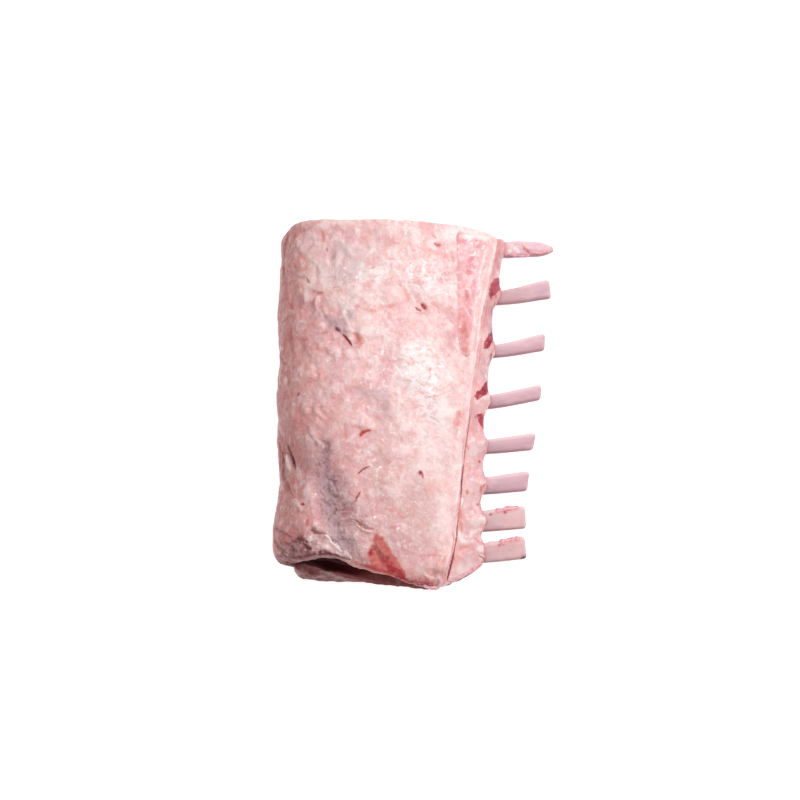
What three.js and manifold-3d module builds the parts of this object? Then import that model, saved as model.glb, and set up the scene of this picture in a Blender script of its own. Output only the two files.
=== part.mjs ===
// A raw rack of lamb: eight frenched ribs with the fat cap left on, lying fat side up.
//
// Millimetres, +Z up. X runs across the rack, from the chine side (-X) to the rib tips (+X). Y runs
// along the loin, from the shoulder end (-Y) to the loin end (+Y). The rack stands on Z = 0, on the
// flat foot at its chine side and on the tips of its ribs. The origin is under the middle of it.
//
// The layers from the top: fat_cap, with cap_muscle bare where the fat was trimmed away; cover_fat,
// which shows beyond the cap's cut edge; lean_meat, the eye muscle and the meat between the ribs;
// and rib_1 (loin end) to rib_8 (shoulder end), which run through the meat from the chine side.
import * as THREE from "three";
import { ImprovedNoise } from "three/addons/math/ImprovedNoise.js";
import Module from "manifold-3d";

// ---- Driving dimensions ---------------------------------------------------------------------

const GAP = 0.45; // left between two layers that lie on each other
const CAP_THICKNESS = 8.5; // the fat cap over the eye muscle
const CAP_RIM_THICKNESS = 5.5; // the fat cap at its lower rim on the chine side
const MUSCLE_THICKNESS = 3; // the bare muscle in the cap
const MUSCLE_SUNK = 0.3; // how far it lies below the fat round it
const COVER_THICKNESS = 7; // the fat over the ribs, at the cap's cut edge
const COVER_EDGE_THICKNESS = 3.4; // the same at the frenched edge
const FOOT_INSET = 13; // from the chine side's widest point to the flat foot
const FOOT_WIDTH = 22;
const END_SLOPE = 0.22; // how far the shoulder end leans back under the cap, for each mm of height
const ARCH_TOP = 15.5; // height of the ribs' centre lines at the crest of their arch
const ARCH_CREST_X = 5;
const RIB_THICKNESS = 5;
const RIB_PROUD = 1.7; // how far the ribs stand out of the meat on the underside
const CHINE_END = { x: -60, height: 4.8, width: 6.4 }; // where the ribs end, inside the meat
const TIP_HEIGHT = 2.08; // height of the ribs' centre lines at their tips
const RIB_SLANT = 0.065; // how far the ribs run off towards the shoulder end, for each mm to the chine side
const BOXINESS = 0.62; // of a rib's section: 1 is an ellipse, and less is boxier
const EDGE_RADIUS = { shoulder: 4, loin: 2.5, rim: 3.5, cut: 2 }; // the cap's rounded edges

// Each rib: where it leaves the meat, its tip, its width at both, how far the loin-side corner of its
// cut end stands beyond the other, how far the meat's edge flares out along it, and how ragged the
// scraps left on its loin side are, if any are left.
const RIBS = [
  {
    root: [53.6, 99.5], tip: [83.3, 102.3], widths: [9.8, 8.6], lean: -1.5, flare: 2.0, scraps: 0.7,
    pointed: true,
  },
  { root: [51.6, 69.7], tip: [80.8, 77.4], widths: [8.4, 11.6], lean: 1.6, flare: 2.8 },
  { root: [47.6, 36.8], tip: [77.1, 44.5], widths: [7.6, 10.0], lean: 3.2, flare: 2.4 },
  { root: [43.6, 5.9], tip: [74.3, 13.7], widths: [8.0, 8.8], lean: 3.0, flare: 3.2 },
  { root: [42.9, -20.8], tip: [70.0, -16.1], widths: [8.4, 9.8], lean: 3.8, flare: 2.4 },
  { root: [41.5, -44.0], tip: [66.0, -39.8], widths: [10.0, 11.4], lean: 3.4, flare: 3.6 },
  { root: [40.7, -64.9], tip: [64.1, -61.8], widths: [12.2, 12.4], lean: 0.9, flare: 3.4, scraps: 0.9 },
  { root: [40.6, -83.5], tip: [63.9, -79.5], widths: [11.2, 12.4], lean: 0.9, flare: 3.0, scraps: 1 },
];

// How the rack's lines run along it, as [y, x] pairs: the cap's widest line on the chine side, its cut
// edge, and the frenched edge between the ribs.
const chineEdge = along([
  [-92, -80.6], [-88, -82.0], [-80, -83.0], [-70, -82.0], [-58, -80.2], [-49, -79.5], [-26, -80.0],
  [4, -80.7], [34, -80.8], [64, -80.6], [90, -80.0], [98, -79.8], [105, -78.6],
]);
const cutEdge = along([
  [-106, 14.6], [-96, 18.0], [-88, 20.4], [-70, 22.4], [-51, 25.1], [-36, 26.6], [-23, 28.2], [-4, 31.1],
  [18, 33.9], [37, 36.9], [55, 39.7], [65, 41.9], [77, 44.4], [87, 46.6], [100, 48.8],
]);
const frenchedEdge = along([
  [-92, 37.6], [-74, 37.6], [-55, 37.4], [-34, 39.2], [-5, 40.0], [24, 43.2], [47, 45.6], [60, 45.8],
  [78, 49.8], [100, 52.0],
]);

// The cap's height along the rack, as [y, z] pairs: at the crown, and at the cut edge.
const crownHeight = along([[-105, 46], [-80, 51], [-40, 57], [10, 60], [60, 59.5], [104, 56.5]]);
const cutHeight = along([[-106, 31], [-60, 34], [0, 36], [50, 36], [98, 33]]);

// The ends of the cap, as [share of its width, y] pairs, from the chine side (0) to the cut edge (1).
const capShoulderEnd = along([
  [0, -90.6], [0.06, -92.5], [0.16, -93.4], [0.25, -91.2], [0.38, -92.4], [0.46, -96.2], [0.58, -99.0],
  [0.76, -103.4], [0.88, -105.8], [1, -107.0],
]);
const capLoinEnd = along([
  [0, 103.8], [0.03, 106.0], [0.08, 106.4], [0.3, 105.0], [0.62, 105.6], [0.8, 105.2], [0.9, 104.2],
  [1, 102.0],
]);

// The ends of the layers below it, as [x, y] pairs.
const meatShoulderEnd = along([
  [-78, -88.0], [-73.5, -91.5], [-70.5, -96.6], [-58, -97.8], [-38, -100.6], [-25, -102.0], [-19, -103.8],
  [-5, -105.4], [8, -106.8], [13, -106.4], [17, -104.0], [25.6, -100.1], [31.4, -96.6], [36.6, -92.6],
  [41, -89.4], [46, -88.0],
]);
const meatLoinEnd = along([[-78, 98.5], [-60, 102.5], [20, 103.6], [40, 103.0], [50, 103.0], [54, 103.6]]);

// The bare muscle in the cap: its sides, as [y, distance from the cut edge over the surface] pairs.
const MUSCLE_SPAN = [28.5, 98.5];
const muscleFarSide = along([[28.5, 9.5], [38, 13.5], [46, 14.5], [60, 17.5], [78, 22], [99, 27]]);
const muscleNearSide = along([[28.5, 6.2], [38, 5.2], [46, 5.2], [60, 6.6], [78, 8], [99, 5.4]]);

// Hollows and swellings of the cap: the middle, the half length and half width, the direction of the
// length in degrees from +X, and the height, which is negative for a hollow.
const CAP_FORMS = [
  { at: [-49, -66], size: [30, 8.5], turn: 110, height: -2.8 }, // the long hollow at the shoulder end
  { at: [-42, -86], size: [9, 6], turn: 120, height: -1.8 }, // where it runs out
  { at: [-66, -74], size: [16, 8], turn: 75, height: 2.0 }, // the swelling of the flared corner
  { at: [-71, -34], size: [12, 3.4], turn: 115, height: -2.0 }, // the crease above it
  { at: [-62, -33], size: [12, 5], turn: 100, height: 1.0 },
  { at: [-32, -84], size: [11, 4], turn: 120, height: 1.8 }, // the ridge beside the end of the hollow
  { at: [-18, -88], size: [15, 5], turn: 125, height: -1.5 }, // the patch trimmed down to the meat
  { at: [-78, 27], size: [8, 4], turn: 90, height: -1.8 },
  { at: [-74, 72], size: [10, 5], turn: 95, height: -1.3 },
  { at: [-40, 33], size: [10, 5], turn: 135, height: -2.0 }, // round the deep nick
  { at: [2, 54], size: [9, 4], turn: 140, height: -1.4 },
  { at: [4, 12], size: [18, 11], turn: 120, height: 1.5 }, // the wrinkled swelling near the cut edge
  { at: [-14, 84], size: [12, 8], turn: 0, height: 0.9 },
  { at: [-23, -12], size: [16, 7], turn: 80, height: -0.9 },
  { at: [8, -60], size: [24, 9], turn: 85, height: 0.9 },
  { at: [-62, 80], size: [7, 5], turn: 30, height: 1.1 },
];

// The hollow under the cap's lip at the shoulder end: the [x, z] places of its two ends, half its height,
// and how deep it goes into the meat.
const LIP_HOLLOW = { from: [-67, 27], to: [-2, 22], halfHeight: 5.5, depth: 6 };

// ---- Helpers --------------------------------------------------------------------------------

const wasm = await Module();
wasm.setup();
const perlin = new ImprovedNoise();
const { clamp, lerp, smoothstep, degToRad } = THREE.MathUtils;

// The size at any place, by a smooth curve through [place, size] pairs with rising places.
function along(knots) {
  const places = knots.map(([place]) => place);
  const curve = new THREE.CubicInterpolant(places, knots.map(([, size]) => size), 1, [0]);
  return (place) => curve.evaluate(THREE.MathUtils.clamp(place, places[0], places.at(-1)))[0];
}

// That many values from 0 to 1, both ends among them.
const shares = (count) => Array.from({ length: count }, (_, i) => i / (count - 1));

const smoothCurve = (points) => new THREE.CatmullRomCurve3(points, false, "centripetal");

// How far a rounded edge of that radius has dropped, at a distance from the edge.
function edgeDrop(distance, radius) {
  const inside = clamp(1 - distance / radius, 0, 1);
  return radius * (1 - Math.sqrt(1 - inside * inside));
}

// Soft lumps about `size` mm across, from -1 to 1. The seed picks another set of them.
const lumps = (x, y, z, size, seed) => 1.6 * perlin.noise(x / size + seed, y / size - seed, z / size + 0.5);

// A closed body through rings of points that follow each other. As seen along the way, each ring runs
// clockwise; `flat` gives a point's distance to the right and its height in that view.
function loft(rings, flat = ({ x, z }) => new THREE.Vector2(x, z)) {
  const count = rings[0].length;
  const corners = rings.flat();
  const faces = [];
  for (let i = 0; i + 1 < rings.length; i++)
    for (let j = 0; j < count; j++) {
      const [a, b] = [i * count + j, i * count + ((j + 1) % count)];
      faces.push([a, b, a + count], [b, b + count, a + count]);
    }
  for (const [first, side] of [[0, 1], [corners.length - count, -1]]) {
    const outline = corners.slice(first, first + count).map(flat);
    for (const [a, b, c] of THREE.ShapeUtils.triangulateShape(outline, [])) {
      const outward = side * THREE.ShapeUtils.area([outline[a], outline[b], outline[c]]) > 0;
      faces.push((outward ? [a, b, c] : [a, c, b]).map((corner) => corner + first));
    }
  }
  return new wasm.Manifold(
    new wasm.Mesh({
      numProp: 3,
      vertProperties: new Float32Array(corners.flatMap((p) => p.toArray())),
      triVerts: new Uint32Array(faces.flat()),
    }),
  );
}

function meshOf(name, solid, material) {
  const { vertProperties, triVerts } = solid.getMesh();
  const geometry = new THREE.BufferGeometry()
    .setAttribute("position", new THREE.BufferAttribute(vertProperties, 3))
    .setIndex(new THREE.BufferAttribute(triVerts, 1));
  geometry.computeVertexNormals();
  const mesh = new THREE.Mesh(geometry, material);
  mesh.name = name;
  return mesh;
}

// ---- The cap's surface ----------------------------------------------------------------------

// The cap's smooth outline across the rack at y: from the rim on the chine side, up and over the crown,
// and down to the cut edge.
const sections = new Map();
function capSection(y) {
  if (!sections.has(y)) {
    const [left, cut, crown, low] = [chineEdge(y), cutEdge(y), crownHeight(y), cutHeight(y)];
    const at = (x, z) => new THREE.Vector3(x, y, z);
    const slope = (share, fall) => at(lerp(left, cut, share), lerp(crown, low, fall));
    const section = smoothCurve([
      at(left + 6.5, 9), at(left + 1.4, 0.3 * crown), at(left, 0.47 * crown), at(left + 4.5, 0.69 * crown),
      at(left + 15, 0.88 * crown),
      slope(0.34, 0), slope(0.52, 0.1), slope(0.72, 0.36), slope(0.88, 0.7), slope(1, 1),
    ]);
    section.arcLengthDivisions = 80;
    sections.set(y, section);
  }
  return sections.get(y);
}

// The place at a depth under the cap's smooth surface. `across` is the share of the way round the
// section, from the rim on the chine side (0) to the cut edge (1).
function capPlace(across, y, depth = 0) {
  const section = capSection(y);
  const [before, after] = [Math.max(across - 0.01, 0), Math.min(across + 0.01, 1)];
  const round = section.getPointAt(after).sub(section.getPointAt(before));
  const lengthwise = capSection(y + 1).getPointAt(across).sub(capSection(y - 1).getPointAt(across));
  return section.getPointAt(across).addScaledVector(round.cross(lengthwise).normalize(), -depth);
}

const capThickness = (across) => lerp(CAP_RIM_THICKNESS, CAP_THICKNESS, smoothstep(across, 0, 0.3));

// The y that is `share` of the way from the cap's shoulder end to its loin end.
function capY(across, share) {
  const middle = lerp(-96, 102, share);
  const { x } = capSection(middle).getPointAt(across);
  const width = clamp((x - chineEdge(middle)) / (cutEdge(middle) - chineEdge(middle)), 0, 1);
  return lerp(capShoulderEnd(width), capLoinEnd(width), share);
}

// The height of the hollows, swellings and soft lumps over the cap's smooth surface.
function capRelief({ x, y, z }) {
  let height = 0.75 * lumps(x, y, z, 17, 3.1) + 0.45 * lumps(x, y, z, 8.5, 7.7);
  for (const form of CAP_FORMS) {
    const away = new THREE.Vector2(x - form.at[0], y - form.at[1]);
    away.rotateAround(new THREE.Vector2(), -degToRad(form.turn));
    height += form.height * Math.exp(-((away.x / form.size[0]) ** 2) - (away.y / form.size[1]) ** 2);
  }
  return height;
}

// The cap's outer surface, or the place at a depth under it.
function capOuter(across, y, depth = 0) {
  const place = capPlace(across, y);
  const round = capSection(y).getLength();
  const width = clamp((place.x - chineEdge(y)) / (cutEdge(y) - chineEdge(y)), 0, 1);
  const drop =
    edgeDrop(y - capShoulderEnd(width), EDGE_RADIUS.shoulder) +
    edgeDrop(capLoinEnd(width) - y, EDGE_RADIUS.loin) +
    edgeDrop(across * round, EDGE_RADIUS.rim) +
    edgeDrop((1 - across) * round, EDGE_RADIUS.cut);
  return capPlace(across, y, depth + Math.min(drop, 4.2) - capRelief(place));
}

// ---- The ribs' arch and the frenched edge ---------------------------------------------------

const tipX = along(RIBS.map(({ tip }) => [tip[1], tip[0]]).reverse());

// The height of the ribs' centre lines.
function ribHeight(x, y) {
  const [endX, endHeight] = x > ARCH_CREST_X ? [tipX(y), TIP_HEIGHT] : [CHINE_END.x, CHINE_END.height];
  return ARCH_TOP - (ARCH_TOP - endHeight) * ((x - ARCH_CREST_X) / (endX - ARCH_CREST_X)) ** 2;
}

// Near a rib this is the rib's `size`, and it fades away beside it over `reach` mm.
const nearRib = (y, reach, size = () => 1) =>
  Math.max(...RIBS.map((rib) => size(rib) * Math.exp(-(((y - rib.root[1] + 0.6) / reach) ** 2))));

const meatEdge = (y) => frenchedEdge(y) + nearRib(y, 5.4, ({ flare }) => flare);

// ---- The soft layers ------------------------------------------------------------------------

const OUTER = shares(31);
const INNER = shares(15).map((s) => lerp(s, s * s, 0.28)); // closer together round the chine side
const EYE_END = 9; // the inner place with this number is the last one that lies over the eye muscle
const CAP_LENGTHWISE = [
  0, 0.004, 0.012, 0.024, ...shares(36).map((s) => lerp(0.045, 0.975, s)), 0.988, 0.996, 1,
];
const MEAT_LENGTHWISE = [0, 0.012, ...shares(38).map((s) => lerp(0.03, 0.985, s)), 1];

function fatCap() {
  return loft(
    CAP_LENGTHWISE.map((share) => [
      ...OUTER.map((across) => capOuter(across, capY(across, share))),
      ...INNER.toReversed().map((across) => capPlace(across, capY(across, share), capThickness(across))),
    ]),
  );
}

// A slab where the cap's muscle lies bare, between two depths under the surface and `grow` mm larger
// all round.
function muscleSlab(grow, top, bottom) {
  const [from, to] = MUSCLE_SPAN;
  return loft(
    shares(16).map((s) => {
      const y = lerp(from - grow, to + grow, s);
      const [far, near] = [muscleFarSide(y) + grow, muscleNearSide(y) - grow];
      const across = shares(5).map((t) => 1 - lerp(far, near, t) / capSection(y).getLength());
      return [
        ...across.map((place) => capOuter(place, y, top)),
        ...across.toReversed().map((place) => capOuter(place, y, bottom)),
      ];
    }),
  );
}

const underCap = (across, y, depth = 0) => capPlace(across, y, capThickness(across) + GAP + depth);

// The seam between the lean meat and the fat over it, from under the cap out to the frenched edge.
function seam(y) {
  const under = INNER.slice(EYE_END + 1).map((across) =>
    underCap(across, y, COVER_THICKNESS * smoothstep(across, INNER[EYE_END] - 0.02, 0.85)),
  );
  const last = under.at(-1);
  const edge = meatEdge(y) - 0.8;
  const bare = [0.35, 0.7, 1].map((share) => {
    const x = lerp(last.x, edge, share);
    const low = ribHeight(x, y) + RIB_THICKNESS / 2 + 1.2;
    return new THREE.Vector3(x, y, lerp(Math.max(last.z, low), low, Math.sqrt(share)));
  });
  return [...under, ...bare];
}

// The outline of the fat over the ribs: under the cap, and bare beyond its cut edge.
function coverOutline(y) {
  const top = [INNER[EYE_END] + 0.012, ...INNER.slice(EYE_END + 1)].map((across) => underCap(across, y));
  const bare = top.at(-1);
  const edge = meatEdge(y);
  const rim = ribHeight(edge, y) + RIB_THICKNESS / 2 + 1.2;
  const height = rim + COVER_EDGE_THICKNESS + 1.4 * nearRib(y, 6);
  const open = [0.14, 0.34, 0.56, 0.78, 0.94].map((share) => {
    const x = lerp(bare.x, edge, share);
    const hump = 1.3 * share * nearRib(y, 5.5) + 0.6 * lumps(x, y, 0, 9, 5.3);
    return new THREE.Vector3(x, y, lerp(bare.z + 1.2, height, share ** 1.1) + hump);
  });
  const floor = seam(y).reverse().map((place) => place.setZ(place.z + GAP));
  return [...top, ...open, new THREE.Vector3(edge, y, rim + 1.4), ...floor];
}

// The outline of the eye muscle and the meat between the ribs, with the flat foot.
function meatOutline(y) {
  const at = (x, z) => new THREE.Vector3(x, y, z);
  const edge = meatEdge(y) - 0.6;
  const heel = chineEdge(y) + FOOT_INSET;
  const underside = [1, 0.82, 0.64, 0.48, 0.33, 0.2, 0.08].map((share) => {
    const x = lerp(heel + FOOT_WIDTH, edge, share);
    return at(x, (ribHeight(x, y) - RIB_THICKNESS / 2 + RIB_PROUD) * smoothstep(share, -0.02, 0.28));
  });
  return [
    ...INNER.slice(0, EYE_END + 1).map((across) => underCap(across, y, 0.15)),
    ...seam(y),
    at(edge, ribHeight(edge, y) + 0.4),
    ...underside,
    at(heel + FOOT_WIDTH, 0),
    at(heel, 0),
    at(chineEdge(y) + 8.8, 4),
  ];
}

// The shoulder end of the layers under the cap, at a height: it leans back from the underside up.
function shoulderFace(x, z) {
  const underside = lerp(0, 12, smoothstep(x, -48, -28));
  return meatShoulderEnd(x) + END_SLOPE * Math.max(0, z - underside) * (1 - smoothstep(x, -8, 14));
}

// A body with that outline at every y, between the shoulder end and the loin end.
function layer(outline) {
  return loft(
    MEAT_LENGTHWISE.map((share) => {
      const places = outline(lerp(-100, 102, share));
      return places.map(({ x, z }, i) => outline(lerp(shoulderFace(x, z), meatLoinEnd(x), share))[i]);
    }),
  );
}

// What is cut away for the hollow under the cap's lip, where the meat was cut shorter than the fat.
function lipHollow() {
  const { from, to, halfHeight, depth } = LIP_HOLLOW;
  const sides = 10;
  return loft(
    shares(14).map((share) => {
      const [x, z] = [lerp(from[0], to[0], share), lerp(from[1], to[1], share)];
      const middle = new THREE.Vector3(x, shoulderFace(x, z) - 0.5, z);
      const size = Math.sqrt(Math.max(0.12, 1 - (2 * share - 1) ** 4));
      return shares(sides + 1).slice(1).map((s) => {
        const angle = s * 2 * Math.PI;
        const rough = size * (1 + 0.25 * lumps(x, 6 * s, 0, 7, 2.2));
        const round = new THREE.Vector3(0, depth * Math.cos(angle), halfHeight * Math.sin(angle));
        return middle.clone().addScaledVector(round, rough);
      });
    }),
    ({ y, z }) => new THREE.Vector2(-y, z),
  );
}

// ---- The ribs -------------------------------------------------------------------------------

// A flat bar with rounded sides, from inside the meat to the tip. `grow` makes the channel round it.
function ribBar({ root, tip, widths, lean, scraps = 0, pointed = false }, grow = 0) {
  const chineY = root[1] - RIB_SLANT * (root[0] - CHINE_END.x);
  const route = [[CHINE_END.x, chineY], [-5, lerp(chineY, root[1], 0.4)], root, tip];
  const line = smoothCurve(route.map(([x, y]) => new THREE.Vector3(x, y, 0)));
  const length = line.getLength();
  const out = length - Math.hypot(tip[0] - root[0], tip[1] - root[1]); // how far along it leaves the meat
  const stations = [
    -grow, ...[0.25, 0.48, 0.7, 0.88].map((s) => s * out),
    ...shares(8).map((s) => lerp(out, length - 3.6, s)),
    length - 2, length - 0.9, length - 0.25, length + grow,
  ];
  const radius = pointed ? 0.7 : 1.8;
  return loft(
    stations.map((station) => {
      const share = clamp(station / length, 0, 1);
      const ahead = line.getTangentAt(share);
      const left = new THREE.Vector3(-ahead.y, ahead.x, 0);
      const middle = line.getPointAt(share).addScaledVector(ahead, station - share * length);
      const bare = clamp((station - out) / (length - out), 0, 1);
      const inMeat = lerp(CHINE_END.width, widths[0], smoothstep(station, 0, out));
      const width = bare ? lerp(...widths, bare) : inMeat;
      const taper = pointed ? Math.sqrt(clamp((1 - bare) / 0.3, 0.12, 1)) : 1;
      const rounding = edgeDrop(length + grow - station, radius);
      const halfWidth = (width / 2) * taper - rounding + grow;
      const halfHeight = (RIB_THICKNESS / 2) * Math.sqrt(taper) - 0.75 * rounding + grow;
      const boxy = (v) => Math.sign(v) * Math.abs(v) ** BOXINESS;
      return shares(13).slice(1).map((s) => {
        const angle = s * 2 * Math.PI;
        const ragged = scraps * smoothstep(bare, 0, 0.15) * Math.max(0, Math.cos(angle - 0.6)) ** 3;
        const rough = 1 + ragged * (0.14 + 0.15 * lumps(station, 3 * angle, root[1], 4.5, 1.7));
        const aside = boxy(Math.cos(angle)) * halfWidth * rough;
        const place = middle.clone().addScaledVector(left, aside);
        place.addScaledVector(ahead, (lean * aside * smoothstep(bare, 0.6, 1)) / widths[1]);
        place.z = ribHeight(place.x, place.y) + boxy(Math.sin(angle)) * halfHeight * rough;
        return place;
      });
    }),
    ({ y, z }) => new THREE.Vector2(-y, z),
  );
}

// ---- The rack -------------------------------------------------------------------------------

const soft = (color, roughness) => new THREE.MeshStandardMaterial({ color, roughness, metalness: 0 });
const outerFat = soft(0xeac9c6, 0.42);
const innerFat = soft(0xeecbc8, 0.45);
const muscle = soft(0xe58f92, 0.4);
const lean = soft(0xa9555a, 0.42);
const bone = soft(0xdcbcc2, 0.38);

const rack = new THREE.Group();
rack.name = "rack_of_lamb";
const pocket = muscleSlab(GAP, -4, MUSCLE_SUNK + MUSCLE_THICKNESS + GAP);
rack.add(meshOf("fat_cap", fatCap().subtract(pocket), outerFat));
rack.add(meshOf("cap_muscle", muscleSlab(0, MUSCLE_SUNK, MUSCLE_SUNK + MUSCLE_THICKNESS), muscle));
rack.add(meshOf("cover_fat", layer(coverOutline), innerFat));
const channels = RIBS.map((rib) => ribBar(rib, GAP));
const meat = [lipHollow(), ...channels].reduce((solid, cut) => solid.subtract(cut), layer(meatOutline));
rack.add(meshOf("lean_meat", meat, lean));
RIBS.forEach((rib, i) => rack.add(meshOf(`rib_${i + 1}`, ribBar(rib), bone)));

export default rack;
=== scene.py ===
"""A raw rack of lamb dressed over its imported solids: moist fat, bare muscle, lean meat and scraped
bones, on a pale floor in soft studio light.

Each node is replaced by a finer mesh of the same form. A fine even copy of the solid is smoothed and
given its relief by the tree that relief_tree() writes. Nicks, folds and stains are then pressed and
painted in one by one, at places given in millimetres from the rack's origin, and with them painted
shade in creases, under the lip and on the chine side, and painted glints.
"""

import math

import bmesh
import bpy
import numpy as np
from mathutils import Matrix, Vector, noise
from mathutils.bvhtree import BVHTree


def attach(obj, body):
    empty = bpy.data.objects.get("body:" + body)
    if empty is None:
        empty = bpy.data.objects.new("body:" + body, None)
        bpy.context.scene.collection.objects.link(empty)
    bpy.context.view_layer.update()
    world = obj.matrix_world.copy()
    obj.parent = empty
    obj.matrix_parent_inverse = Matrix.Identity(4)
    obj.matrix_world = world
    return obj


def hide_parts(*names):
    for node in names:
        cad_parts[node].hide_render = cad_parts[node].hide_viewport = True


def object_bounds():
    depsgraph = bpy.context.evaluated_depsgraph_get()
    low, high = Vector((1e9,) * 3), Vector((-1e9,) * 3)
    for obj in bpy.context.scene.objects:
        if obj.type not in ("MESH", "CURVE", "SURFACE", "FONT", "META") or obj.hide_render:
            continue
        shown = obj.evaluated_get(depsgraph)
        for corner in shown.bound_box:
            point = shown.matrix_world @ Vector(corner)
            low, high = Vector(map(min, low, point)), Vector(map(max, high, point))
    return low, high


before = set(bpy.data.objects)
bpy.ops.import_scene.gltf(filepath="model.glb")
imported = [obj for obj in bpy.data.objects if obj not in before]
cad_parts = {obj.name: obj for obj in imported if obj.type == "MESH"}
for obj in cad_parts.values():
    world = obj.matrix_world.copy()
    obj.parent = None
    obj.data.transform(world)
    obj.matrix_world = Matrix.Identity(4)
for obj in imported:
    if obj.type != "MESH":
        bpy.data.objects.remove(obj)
cad_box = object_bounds()

MM = 0.001
QUICK = 1  # how much coarser the fine copies are in a quick try
RIBS = [f"rib_{number}" for number in range(1, 9)]


# ---- Colours --------------------------------------------------------------------------------


def colour(red, green, blue):
    """A paint chip's colour, 0 to 255 each, as the linear colour that a shader takes."""
    linear = [c / 3294.6 if c < 10.3 else ((c / 255 + 0.055) / 1.055) ** 2.4 for c in (red, green, blue)]
    return (*linear, 1)


PEACH_FAT = colour(243, 208, 204)
ROSE_FAT = colour(237, 187, 189)
IVORY_FAT = colour(252, 231, 228)
# White for painted glints: highlights laid into the base colour where the wet fat would catch the light.
PAINTED_GLINT_WHITE = colour(255, 248, 248)
LILAC_FAT = colour(200, 166, 172)
GREY_FAT = colour(212, 186, 188)
DUSK_FAT = colour(174, 108, 108)
CHINE_FAT = colour(190, 112, 108)
SALMON = colour(232, 159, 152)
BLUSH = colour(226, 156, 158)
# Brown-red of the chine rim, darkened as painted shade.
RIM_SHADE_BROWN = colour(178, 92, 86)
RUST = colour(206, 108, 98)
CRIMSON = colour(170, 30, 46)
PURPLE = colour(88, 28, 58)
UMBER = colour(124, 64, 62)
FLESH = colour(188, 84, 100)
MUSCLE_PINK = colour(230, 146, 158)
MUSCLE_PALE = colour(238, 178, 184)
LEAN_RED = colour(150, 52, 56)
LEAN_DARK = colour(96, 30, 34)
RIM_RED = colour(190, 92, 106)
# Near black painted into the hollow under the cap's lip, as painted shade.
HOLLOW_SHADE = colour(44, 3, 5)
FILM_MAUVE = colour(150, 108, 110)
FILM_PALE = colour(214, 180, 178)
BONE_LILAC = colour(205, 163, 174)
BONE_ROSY = colour(220, 179, 178)
BONE_PINK = colour(226, 180, 192)
BONE_ROOT = colour(186, 152, 160)
# Paler bone tone, also laid on the loin side's bevel as painted highlight.
BONE_PALE_TONE_AND_HIGHLIGHT = colour(244, 214, 218)
# Painted shade on the bones' lower sides.
BONE_SHADE = colour(120, 76, 80)
PAPER = colour(192, 192, 193)
PAPER_GRAIN = colour(196, 196, 196)


# ---- Node trees -----------------------------------------------------------------------------


MIDDLE = (-0.5, -0.5, -0.5)  # brings noise in colours to both sides of nought


class Value:
    """A node's output. Sums with it are written as sums, and add their Math nodes."""

    def __init__(self, nodes, socket):
        self.nodes = nodes
        self.socket = socket

    def maths(self, operation, *terms):
        return self.nodes.add("ShaderNodeMath", dict(enumerate(terms)), operation=operation)

    def __add__(self, other):
        return self.maths("ADD", self, other)

    def __mul__(self, other):
        return self.maths("MULTIPLY", self, other)

    def __sub__(self, other):
        return self.maths("SUBTRACT", self, other)

    def __rsub__(self, other):
        return self.maths("SUBTRACT", other, self)

    def __truediv__(self, other):
        return self.maths("DIVIDE", self, other)

    def __rtruediv__(self, other):
        return self.maths("DIVIDE", other, self)

    def __pow__(self, other):
        return self.maths("POWER", self, other)

    def __abs__(self):
        return self.maths("ABSOLUTE", self)

    __radd__ = __add__
    __rmul__ = __mul__

    def other(self, name):
        """Another output of the same node."""
        return Value(self.nodes, self.socket.node.outputs[name])


class Nodes:
    """A node tree as it is written: add() makes every node, from its inputs' values and its settings."""

    def __init__(self, tree):
        self.tree = tree

    def add(self, kind, values=None, **settings):
        node = self.tree.nodes.new(kind)
        for name, setting in settings.items():
            setattr(node, name, setting)
        for key, value in (values or {}).items():
            if isinstance(key, int):
                socket = node.inputs[key]
            else:
                socket = next(s for s in node.inputs if s.name == key and s.enabled)
            if isinstance(value, Value):
                self.tree.links.new(value.socket, socket)
            else:
                socket.default_value = value
        return Value(self, next((s for s in node.outputs if s.enabled), None))

    def noise(self, at, size, detail=2.0, roughness=0.5, distortion=0.0, seed=0.0):
        """Soft noise from 0 to 1, in blotches about `size` across."""
        values = {"Vector": at, "W": seed, "Scale": 1 / size, "Detail": detail}
        values |= {"Roughness": roughness, "Distortion": distortion}
        return self.add("ShaderNodeTexNoise", values, noise_dimensions="4D")

    def rise(self, value, low, high, start=0.0, end=1.0):
        """A smooth step from start at `low` to end at `high`."""
        values = {"Value": value, "From Min": low, "From Max": high, "To Min": start, "To Max": end}
        return self.add("ShaderNodeMapRange", values, interpolation_type="SMOOTHSTEP")

    def scaled(self, vector, by):
        by = by if isinstance(by, (tuple, Value)) else (by, by, by)
        return self.add("ShaderNodeVectorMath", {0: vector, 1: by}, operation="MULTIPLY")

    def moved(self, vector, by):
        return self.add("ShaderNodeVectorMath", {0: vector, 1: by}, operation="ADD")

    def stretched(self, vector, by):
        """The vector made `by` times as long."""
        return self.add("ShaderNodeVectorMath", {"Vector": vector, "Scale": by}, operation="SCALE")


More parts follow.
